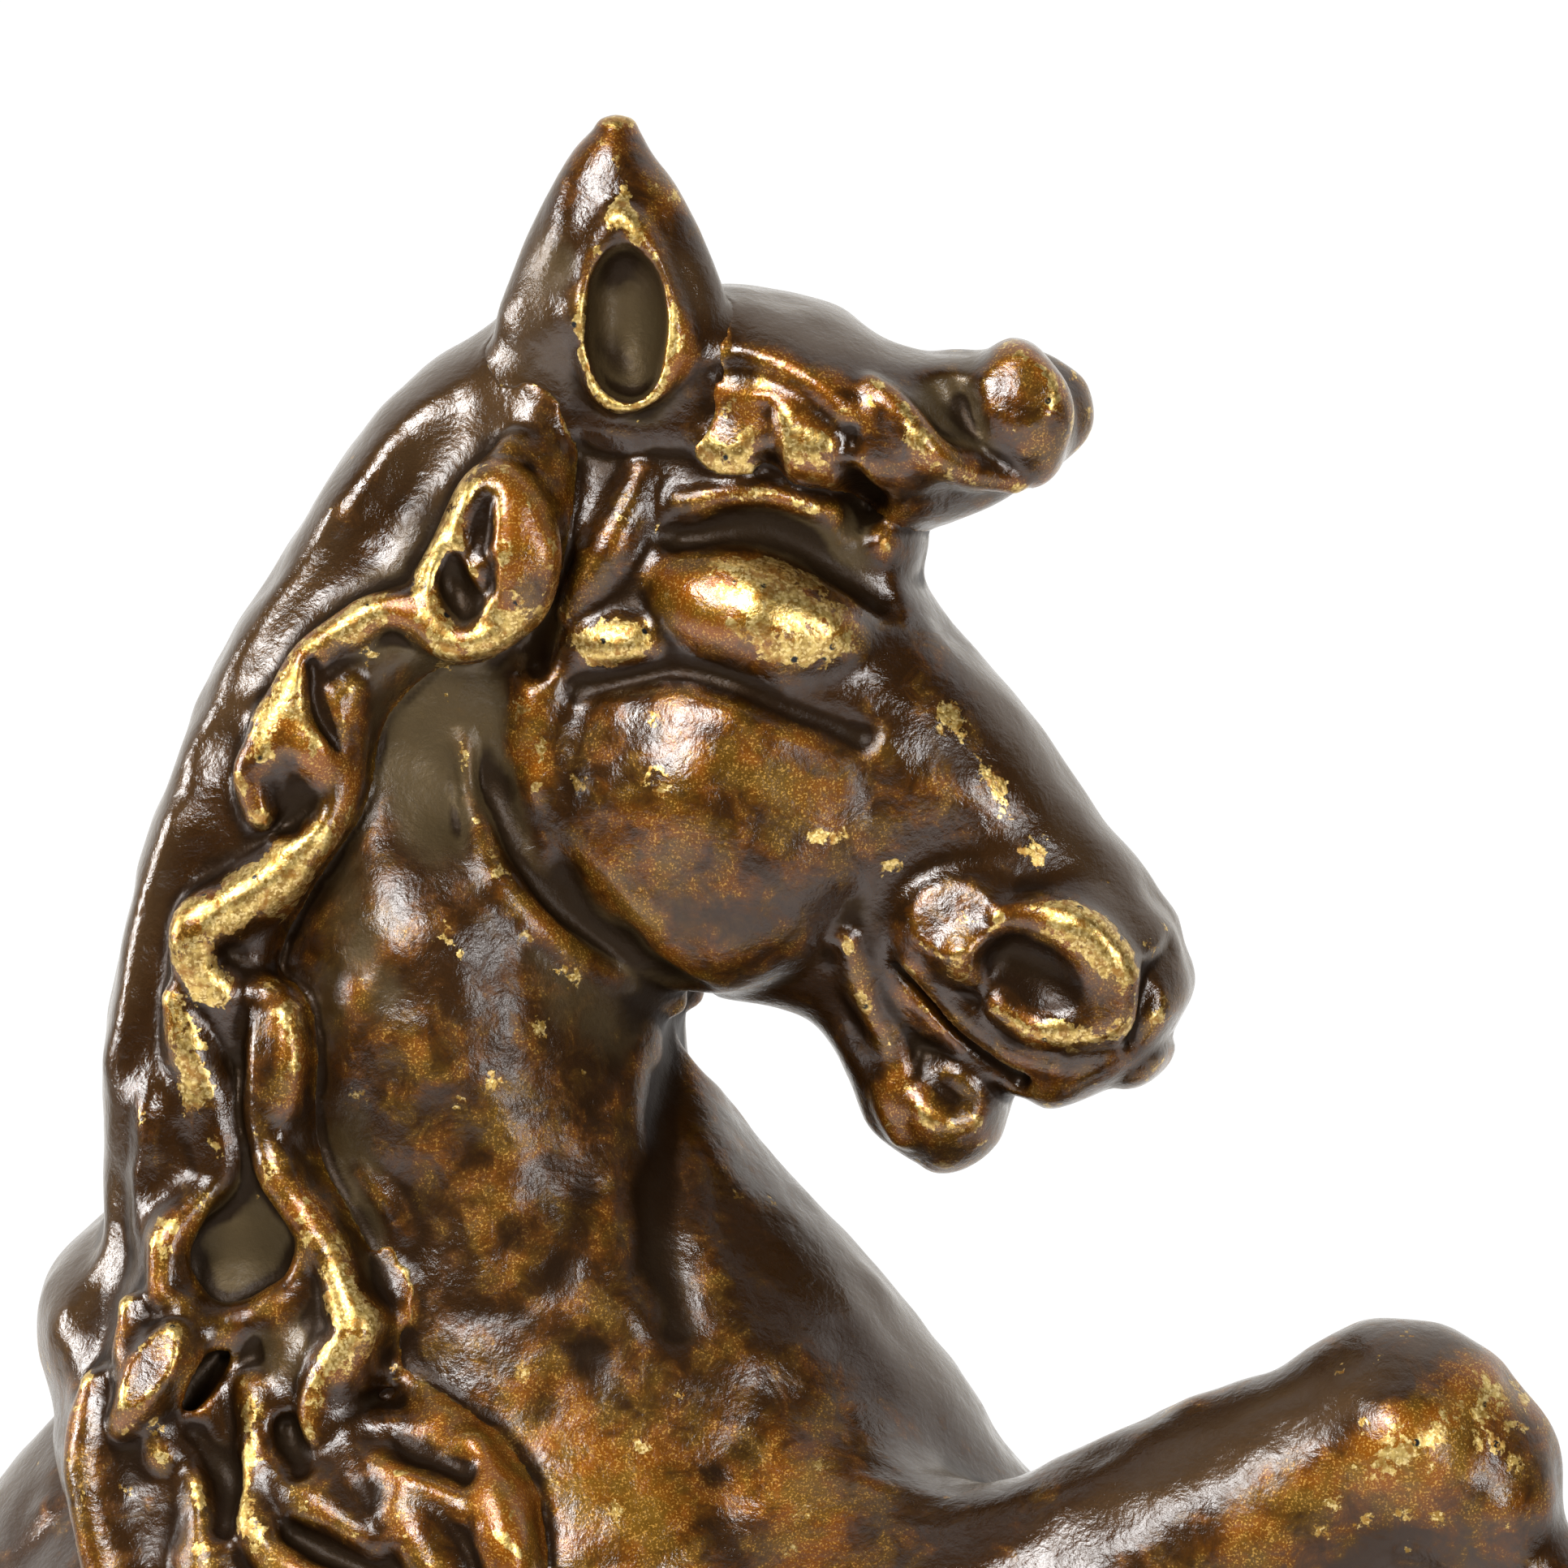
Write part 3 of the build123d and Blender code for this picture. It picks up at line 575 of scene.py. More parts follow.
# ---------------------------------------------------------------- hair
MANE = [
    ((25.4, 135.2), (28.6, 132.0), 3.4, -0.6),
    ((21.8, 132.6), (26.4, 129.2), 4.2, -1.0),
    ((18.5, 127.7), (24.6, 125.2), 5.2, -1.2),
    ((16.0, 123.0), (21.6, 121.2), 5.9, -1.4),
    ((14.3, 117.8), (19.6, 116.6), 6.3, -1.5),
    ((13.4, 113.1), (18.6, 112.2), 6.6, -1.6),
    ((13.4, 109.6), (19.0, 108.6), 6.9, -1.6),
    ((13.4, 106.8), (20.4, 105.0), 7.4, -1.8),
    ((12.3, 104.0), (21.0, 101.8), 7.9, -2.0),
    ((12.4, 100.4), (21.2, 98.6), 8.1, -2.4),
    ((14.6, 97.0), (21.4, 95.2), 7.0, -3.8),
    ((16.8, 93.8), (20.6, 92.8), 5.0, -5.4),
]
# where the mane's thick edge runs down each side of the neck
NEAR_EDGE = [
    (28.0, 134.4), (28.3, 132.4), (28.4, 129.8), (28.1, 127.9), (27.5, 126.6), (26.9, 125.7), (25.7, 125.0),
    (24.2, 124.8), (23.3, 124.3), (22.4, 123.6), (22.3, 122.2), (22.1, 120.6), (21.4, 119.3), (20.4, 117.9),
    (19.5, 116.6), (19.4, 115.5), (20.6, 114.8), (21.0, 113.2), (20.9, 111.4), (21.2, 109.9), (22.1, 108.4),
    (23.1, 106.8), (23.8, 105.2), (23.6, 103.8), (23.2, 103.0), (24.9, 102.9), (26.9, 102.2), (28.4, 100.4),
    (28.9, 97.8), (27.6, 96.2), (27.0, 94.8), (25.4, 94.6), (24.8, 92.6), (22.6, 93.2), (21.4, 91.2),
    (19.6, 93.0), (17.4, 93.6), (15.6, 96.0), (14.0, 98.6), (12.2, 101.2), (9.0, 104.0), (2.0, 106.0),
    (2.0, 140.0), (27.0, 140.0),
]
FAR_EDGE = [
    (27.6, 134.4), (26.6, 131.4), (26.2, 128.4), (24.6, 126.6), (23.2, 125.0), (22.8, 122.6), (21.2, 120.6),
    (20.4, 118.2), (20.6, 115.6), (19.2, 113.4), (18.8, 110.8), (20.6, 108.4), (21.4, 105.8), (20.2, 103.4),
    (21.8, 101.4), (22.0, 98.6), (19.8, 97.8), (19.6, 95.2), (17.2, 96.4), (15.0, 95.4), (14.0, 98.6),
    (12.2, 101.2), (9.0, 104.0), (2.0, 106.0), (2.0, 140.0), (26.6, 140.0),
]
MANE_THICKNESS = 1.15
HAIR_MELT, HAIR_SINK = 0.65, 0.2
# strands laid on the near side: points (x, z, radius), and how far they stand proud
STRANDS = [
    ([(26.6, 131.4, 0.45), (25.8, 130.2, 0.55), (25.1, 128.9, 0.58), (24.5, 127.6, 0.58),
      (24.3, 126.4, 0.6), (25.0, 125.7, 0.6), (26.2, 125.8, 0.5), (27.0, 126.6, 0.4)], 0.3),
    ([(24.6, 126.2, 0.5), (23.0, 126.6, 0.6), (21.9, 126.1, 0.58), (20.8, 125.3, 0.52), (20.2, 124.2, 0.56),
      (19.6, 122.8, 0.56), (19.0, 121.7, 0.48), (19.3, 120.6, 0.4)], 0.25),
    ([(21.9, 124.2, 0.3), (21.9, 122.6, 0.42), (21.5, 121.0, 0.48), (20.9, 119.9, 0.5)], 0.1),
    ([(20.8, 119.8, 0.5), (19.9, 118.7, 0.8), (18.5, 117.7, 0.85), (17.5, 117.0, 0.85), (17.4, 115.9, 0.75),
      (18.0, 114.9, 0.65), (18.4, 113.7, 0.4)], 0.25),
    ([(16.8, 114.8, 0.4), (17.2, 113.5, 0.65), (17.6, 112.3, 0.72), (17.8, 111.2, 0.6),
      (18.0, 110.2, 0.4)], 0.15),
    ([(19.5, 115.0, 0.3), (19.5, 113.2, 0.42), (19.6, 111.6, 0.46), (19.8, 110.4, 0.4),
      (20.1, 109.6, 0.36)], 0.25),
    ([(20.2, 114.4, 0.25), (20.3, 113.1, 0.34), (20.2, 111.8, 0.3)], 0.2),
    ([(18.1, 110.4, 0.36), (18.0, 109.3, 0.36), (17.4, 108.5, 0.36), (16.9, 107.7, 0.36),
      (16.7, 106.8, 0.36), (16.8, 106.1, 0.32), (17.4, 105.7, 0.24)], 0.25),
    ([(20.0, 109.9, 0.38), (20.4, 109.0, 0.38), (21.1, 108.2, 0.4), (21.8, 107.2, 0.46),
      (22.3, 106.3, 0.54), (22.7, 105.2, 0.68), (22.3, 104.3, 0.66), (21.8, 103.4, 0.6),
      (21.5, 102.2, 0.4)], 0.25),
    ([(17.6, 104.9, 0.35), (18.6, 105.1, 0.5), (19.7, 105.5, 0.55), (20.6, 106.2, 0.5),
      (21.0, 107.0, 0.3)], 0.05),
    ([(20.2, 105.6, 0.5), (20.5, 104.2, 0.5), (20.4, 102.8, 0.35)], -0.05),
    ([(15.6, 105.6, 0.4), (15.8, 104.2, 0.4), (16.3, 102.8, 0.4), (16.9, 101.4, 0.35)], 0.15),
    ([(19.5, 103.3, 0.3), (19.8, 101.9, 0.38), (19.9, 100.7, 0.41), (20.0, 99.7, 0.41), (20.5, 98.9, 0.43),
      (21.5, 98.3, 0.46), (22.9, 98.0, 0.45), (24.2, 97.5, 0.35)], 0.35),
    ([(20.6, 100.9, 0.4), (21.6, 100.4, 0.6), (22.8, 99.6, 0.5), (23.8, 98.9, 0.3)], -0.05),
    ([(23.6, 102.3, 0.3), (24.4, 101.2, 0.5), (25.6, 100.8, 0.6), (26.6, 100.2, 0.5)], -0.05),
    ([(26.6, 101.9, 0.4), (27.2, 101.0, 0.6), (27.7, 99.8, 0.75), (28.0, 98.4, 0.6),
      (27.8, 97.0, 0.4)], 0.05),
    ([(24.6, 100.0, 0.4), (25.3, 99.3, 0.7), (26.0, 98.0, 0.7), (25.8, 96.2, 0.5)], 0.0),
    ([(18.3, 100.4, 0.5), (18.6, 99.0, 0.85), (18.8, 97.6, 0.9), (19.7, 95.6, 0.8), (21.4, 93.8, 0.6),
      (22.2, 92.2, 0.4)], 0.1),
    ([(14.6, 103.2, 0.5), (14.6, 101.2, 0.8), (15.2, 98.8, 0.9), (16.1, 96.6, 0.8), (17.4, 94.8, 0.6),
      (18.9, 93.8, 0.4)], 0.05),
    ([(21.0, 97.2, 0.5), (22.4, 96.0, 0.7), (23.8, 94.4, 0.65), (24.5, 92.9, 0.4)], 0.1),
    ([(22.4, 109.8, 0.3), (23.3, 108.9, 0.5), (23.9, 107.9, 0.35)], -0.1),
    ([(23.4, 107.2, 0.3), (23.8, 106.4, 0.5), (24.1, 105.4, 0.3)], -0.1),
    ([(23.6, 103.9, 0.3), (24.4, 103.2, 0.5), (25.4, 102.6, 0.3)], -0.1),
]
FAR_STRANDS = [
    [(26.4, 133.2, 0.4), (25.6, 130.4, 0.8), (25.2, 127.8, 0.8), (23.4, 125.8, 0.8), (22.0, 123.6, 0.7),
     (21.4, 121.0, 0.5)],
    [(21.6, 127.6, 0.5), (20.6, 124.4, 0.8), (20.8, 121.4, 0.8), (19.8, 118.8, 0.8),
     (19.6, 115.8, 0.6)],
    [(17.8, 121.4, 0.5), (17.6, 118.2, 0.8), (18.6, 115.2, 0.8), (17.8, 112.6, 0.8),
     (18.2, 110.0, 0.6)],
    [(15.6, 115.0, 0.5), (15.6, 111.8, 0.8), (17.0, 109.0, 0.8), (19.0, 107.2, 0.8), (20.0, 104.8, 0.7),
     (19.2, 102.2, 0.5)],
    [(14.4, 107.6, 0.5), (15.4, 104.6, 0.9), (17.6, 102.8, 0.9), (19.6, 101.0, 0.8),
     (20.8, 98.8, 0.5)],
    [(13.6, 103.6, 0.5), (14.6, 101.0, 0.9), (16.8, 99.4, 0.9), (18.6, 97.8, 0.8),
     (19.0, 95.8, 0.4)],
]
# shallow valleys that run down the crest
VALLEYS = [
    [(26.0, 133.6, 0.4), (23.7, 131.0, 0.8), (22.0, 128.6, 0.9), (20.2, 126.4, 0.9), (18.4, 123.8, 0.9),
      (17.3, 120.6, 0.8), (16.0, 117.6, 0.8), (15.4, 114.2, 0.8), (14.6, 110.8, 0.7), (14.4, 107.2, 0.8),
      (14.0, 104.0, 0.5)],
    [(25.4, 131.6, 0.5), (23.6, 129.8, 0.7), (22.6, 127.9, 0.7), (20.6, 127.0, 0.6), (19.2, 124.8, 0.6)],
    [(18.6, 121.6, 0.4), (17.8, 119.0, 0.7), (16.4, 117.2, 0.7), (16.1, 113.6, 0.6), (16.6, 110.6, 0.5),
      (15.4, 108.0, 0.5), (15.4, 105.8, 0.4)],
]
# pits and furrows between the locks: points, how far they lie over the surface, softness
SLOTS = [
    ([(26.2, 129.9, 0.3), (26.0, 129.1, 0.5), (25.9, 128.5, 0.35)], 0.0, 0.4),
    ([(25.1, 128.0, 0.3), (25.2, 127.4, 0.48), (25.7, 127.0, 0.35)], 0.0, 0.4),
    ([(26.3, 128.0, 0.3), (26.2, 127.4, 0.35)], 0.0, 0.3),
    ([(21.0, 125.0, 0.25), (21.3, 123.7, 0.42), (21.8, 122.5, 0.25)], 0.05, 0.25),
    ([(20.4, 121.8, 0.3), (20.5, 121.0, 0.6), (20.3, 120.3, 0.4)], 0.15, 0.6),
    ([(18.5, 104.3, 0.3), (17.9, 103.5, 0.55), (17.4, 102.6, 0.35)], -0.5, 0.3),
    ([(23.6, 102.5, 0.25), (24.9, 101.9, 0.35), (26.4, 101.6, 0.2)], 0.1, 0.9),
    ([(21.4, 99.3, 0.25), (22.6, 98.9, 0.36), (24.1, 98.5, 0.2)], 0.1, 0.9),
    ([(20.7, 102.3, 0.25), (21.3, 101.2, 0.35)], 0.0, 0.5),
    ([(18.0, 102.0, 0.3), (18.8, 100.9, 0.4), (19.1, 99.6, 0.35)], 0.1, 0.5),
]
# broad swellings: the place, radii, tilt, how far out the middle lies
PILLOWS = [
    ((26.6, 128.5), (1.7, 1.1, 2.7), 8, 0.1),
    ((20.6, 122.4), (1.2, 0.8, 2.0), -10, 0.1),
    ((16.8, 103.8), (1.1, 0.8, 1.5), -28, 0.0),
]
BOWL = ((18.9, 107.4), (1.8, 0.5, 2.0), -10)  # the hollow inside the low loop
PRESSED_LOCK = ((16.5, 103.5), (0.85, 1.2, 2.0), -28)  # a lock with a flattened face below it


def edge_distance(clay, edge):
    """Distances to a closed outline in the side view, negative inside."""
    path = smooth_path(edge + edge[:1], 3)
    x, z = clay.axes[0][:, None], clay.axes[2][None, :]
    gap = np.full((len(clay.axes[0]), len(clay.axes[2])), 1e9, np.float32)
    inside = np.zeros(gap.shape, bool)
    for (ax, az), (bx, bz) in zip(path, path[1:]):
        dx, dz = bx - ax, bz - az
        t = np.clip(((x - ax) * dx + (z - az) * dz) / max(dx * dx + dz * dz, 1e-9), 0, 1)
        gap = np.minimum(gap, (x - ax - t * dx) ** 2 + (z - az - t * dz) ** 2)
        if az != bz:
            inside ^= ((az > z) != (bz > z)) & (x < dx * (z - az) / dz + ax)
    return np.where(inside, -np.sqrt(gap), np.sqrt(gap)).astype(np.float32)


def mane_base(clay, horse):
    """The mane's mass: a thick layer over the neck as far as its edges, with more along the crest."""
    near, far = (np.clip(edge_distance(clay, edge), -FAR, FAR) for edge in (NEAR_EDGE, FAR_EDGE))
    cover = np.where(clay.axes[1][None, :, None] < 0, near[:, None, :], far[:, None, :])
    clay.field = -melt(MANE_THICKNESS - horse.field, -cover, 1.3)
    clay.loft(MANE, soft=1.2, power=2.3)
    clay.lump((13.2, -2.0, 104.4), (2.1, 5.0, 2.6), soft=1.4)


def lay_mane(horse):
    """Works out where the strands lie, on the sculpted neck and the mane's mass."""
    base = horse.fresh()
    mane_base(base, horse)
    base.field = np.minimum(base.field, horse.field)
    valleys = [base.lay(points, 0.45) for points in VALLEYS]
    strands = [base.lay(points, lift - HAIR_SINK) for points, lift in STRANDS]
    strands += [base.lay(points, -HAIR_SINK, hand=1) for points in FAR_STRANDS]
    (x, z), radii, tilt = BOWL
    bowl = ((x, base.side(x, z) - 0.15, z), radii, tilt)
    pillows = [((x, base.side(x, z) - lift, z), radii, tilt) for (x, z), radii, tilt, lift in PILLOWS]
    for pillow in pillows:
        base.lump(*pillow, soft=HAIR_MELT)
    for points in strands:
        base.tube(points, soft=HAIR_MELT)
    slots = [(base.lay(points, lift), soft) for points, lift, soft in SLOTS]
    place, radii, tilt = PRESSED_LOCK
    lock = ((place[0], base.side(*place) + radii[1] * 0.5, place[1]), radii, tilt)
    return dict(valleys=valleys, bowl=bowl, pillows=pillows, strands=strands, lock=lock, slots=slots)


def sculpt_mane(clay, horse, valleys, bowl, pillows, strands, lock, slots):
    """The whole mane on clay that shares the horse's grid."""
    mane_base(clay, horse)
    for points in valleys:
        clay.tube(points, soft=1.3, carve=True)
    clay.lump(*bowl, soft=0.9, carve=True)
    for pillow in pillows:
        clay.lump(*pillow, soft=HAIR_MELT)
    for points in strands:
        clay.tube(points, soft=HAIR_MELT)
    clay.lump(*lock, soft=0.3, press=lock[1][1] * PRESS_DEPTH)
    for points, soft in slots:
        clay.tube(points, soft=soft, carve=True)


FORELOCK = [
    ((29.8, 135.8), (30.4, 132.3), 2.6, -0.2),
    ((32.2, 136.4), (32.0, 131.3), 3.8, -0.3),
    ((35.2, 135.8), (34.4, 130.3), 4.4, -0.3),
    ((37.8, 134.5), (37.0, 129.6), 4.1, -0.3),
    ((39.8, 134.3), (39.2, 129.3), 3.2, -0.2),
    ((41.2, 134.6), (40.9, 129.9), 2.4, -0.2),
    ((42.1, 133.5), (42.1, 130.9), 1.6, -0.2),
]
FORELOCK_CURLS = [
    ((33.1, -3.1, 131.5), (1.7, 1.4, 1.3), 0, 0.8),
    ((35.4, -3.4, 131.5), (1.6, 1.3, 1.2), -20, 0.8),
    ((36.9, -3.2, 131.0), (1.0, 1.1, 0.8), 0, 0.6),
    ((38.5, -2.9, 131.2), (1.2, 1.2, 1.1), 0, 0.7),
]
FORELOCK_RIDGE = [
    (37.4, 133.4, 0.25), (37.9, 132.9, 0.4), (38.5, 132.3, 0.45), (39.2, 131.4, 0.5), (40.2, 130.8, 0.5),
    (41.4, 130.6, 0.5),
]
FORELOCK_GROOVES = [
    [(31.4, 133.6, 0.2), (33.2, 133.8, 0.35), (35.2, 133.2, 0.35), (36.9, 131.8, 0.2)],
    [(34.3, 132.6, 0.2), (34.4, 131.4, 0.3), (34.2, 130.4, 0.3)],
    [(36.9, 132.0, 0.2), (36.8, 130.9, 0.3), (37.0, 129.9, 0.5)],
]


def sculpt_forelock(clay):
    """A thick clump swept forward from the poll, scooped before its curled end."""
    clay.loft(FORELOCK, soft=0)
    clay.lumps(FORELOCK_CURLS, both=True)
    clay.lump((38.2, 0, 129.8), (1.4, 2.6, 0.9), tilt=35, soft=0.8)
    for y in (-5.0, 4.8):
        clay.lump((40.0, y, 132.9), (1.3, 2.7, 2.5), tilt=32, soft=0.5, carve=True)
    clay.lump((41.6, -0.9, 132.5), (1.45, 1.9, 2.3), tilt=10, soft=0.5)
    clay.lump((41.2, 1.1, 132.2), (1.3, 1.7, 1.9), tilt=10, soft=0.8)
    clay.tube(clay.lay(FORELOCK_RIDGE), soft=0.5, both=True)
    clay.facet((41.8, 133.0), (1.4, 1.2, 1.6), 20, -0.1, soft=0.7)
    for points in FORELOCK_GROOVES:
        clay.tube(clay.lay(points, 0.1), soft=0.5, carve=True, both=True)


# ---------------------------------------------------------------- castings
TUCK, DIP = 0.5, 0.07  # how far a casting goes on beneath its neighbour, and how far below the surface
HAIR_FILLET = 0.4


def whole_statuette(low, high, step, laid=None):
    """The horse with its hair on one grid: the body's clay, the mane's, the forelock's, all in one, and
    where the strands lie, which can be passed on to another grid."""
    horse = Clay(low, high, step)
    sculpt_horse(horse)
    muscles(horse)
    sculpt_face(horse)
    for joints, upper, upright in LEGS.values():
        sculpt_leg(horse, joints, upper, upright)
    grooves(horse)
    bare = horse.copy()
    laid = laid or lay_mane(bare)
    ear(horse, -1, 0, 0)
    ear(horse, 1, -1.1, 0.8)
    mane, forelock = horse.fresh(), horse.fresh()
    sculpt_mane(mane, bare, **laid)
    sculpt_forelock(forelock)
    whole = horse.copy()
    for hair in (mane, forelock):
        whole.field = melt(whole.field, hair.field, HAIR_FILLET)
    for unevenness in HORSE_UNEVENNESS:
        hand_work(whole, *unevenness)
    return horse, mane, forelock, whole, laid


def owned(whole, part, others, tuck=0.0):
    """What of the whole belongs to one part, where it lies deeper than the others. With a tuck it
    dips just under the surface at their border and goes on for that much beneath them."""
    piece = whole.copy()
    for other in others:
        past = part.field - other.field
        if tuck:
            dip = DIP * np.clip((past + tuck) / (2 * tuck), 0, 1)
            piece.field = np.maximum(piece.field, whole.field + dip)
        piece.field = np.maximum(piece.field, past - tuck)
    return piece


def skin(clay, name):
    """Skins clay as a mesh object in metres."""
    grid = openvdb.FloatGrid(FAR)
    grid.copyFromArray(np.clip(clay.field, -FAR, FAR))
    grid.transform = openvdb.createLinearTransform(voxelSize=clay.step)
    points, quads = grid.convertToQuads()
    points = (points + clay.low) * MM
    mesh = bpy.data.meshes.new(name)
    mesh.vertices.add(len(points))
    mesh.vertices.foreach_set("co", points.astype(np.float32).ravel())
    mesh.loops.add(quads.size)
    mesh.loops.foreach_set("vertex_index", quads.astype(np.int32).ravel())
    mesh.polygons.add(len(quads))
    mesh.polygons.foreach_set("loop_start", np.arange(0, quads.size, 4, dtype=np.int32))
    mesh.update(calc_edges=True)
    mesh.validate()
    mesh.shade_smooth()
    obj = bpy.data.objects.new(name, mesh)
    bpy.context.scene.collection.objects.link(obj)
    return obj


def saw(obj, cuts):
    """Saws a piece along planes and closes the cuts. Each cut has a point and the direction that is
    sawn off, in millimetres, and the box outside which nothing is touched."""
    mesh = bmesh.new()
    mesh.from_mesh(obj.data)
    for point, away, (low, high) in cuts:
        faces = []
        for face in mesh.faces:
            at = face.calc_center_median() / MM
            if all(low[k] <= at[k] <= high[k] for k in range(3)):
                faces.append(face)
        # a dictionary keeps the order, so that each run gives the same mesh
        geometry = dict.fromkeys(item for face in faces for item in (*face.verts, *face.edges))
        bmesh.ops.bisect_plane(
            mesh,
            geom=[*geometry, *faces],
            plane_co=Vector(point) * MM,
            plane_no=Vector(away),
            clear_outer=True,
        )
        rim = [edge for edge in mesh.edges if edge.is_boundary]
        closed = bmesh.ops.holes_fill(mesh, edges=rim)["faces"]
        for face in closed:
            face.smooth = False
            for edge in face.edges:
                edge.smooth = False
        bmesh.ops.triangulate(mesh, faces=closed)
    loose = [vert for vert in mesh.verts if not vert.link_faces]
    bmesh.ops.delete(mesh, geom=loose, context="VERTS")
    mesh.to_mesh(obj.data)
    mesh.free()


def crumbs_off(obj):
    """Drops small separate crumbs that the clay left, keeping the main form."""
    mesh = bmesh.new()
    mesh.from_mesh(obj.data)
    mesh.verts.ensure_lookup_table()
    seen, groups = set(), []
    for start in mesh.verts:
        if start.index in seen:
            continue
        group, front = [start], [start]
        seen.add(start.index)
        while front:
            for edge in front.pop().link_edges:
                for vert in edge.verts:
                    if vert.index not in seen:
                        seen.add(vert.index)
                        group.append(vert)
                        front.append(vert)
        groups.append(group)
    groups.sort(key=len)
    bmesh.ops.delete(mesh, geom=[vert for group in groups[:-1] for vert in group], context="VERTS")
    mesh.to_mesh(obj.data)
    mesh.free()


# ---------------------------------------------------------------- wear and painted shade, read from the surface
CLOSE_REACH, BROAD_REACH = 0.5, 1.7  # how wide the surroundings are that a point is compared with
CLOSE_SCALE, BROAD_SCALE = 0.05, 0.35  # how far out counts as 1
MARK_LIMIT = 2  # the most that a mark can be, either way
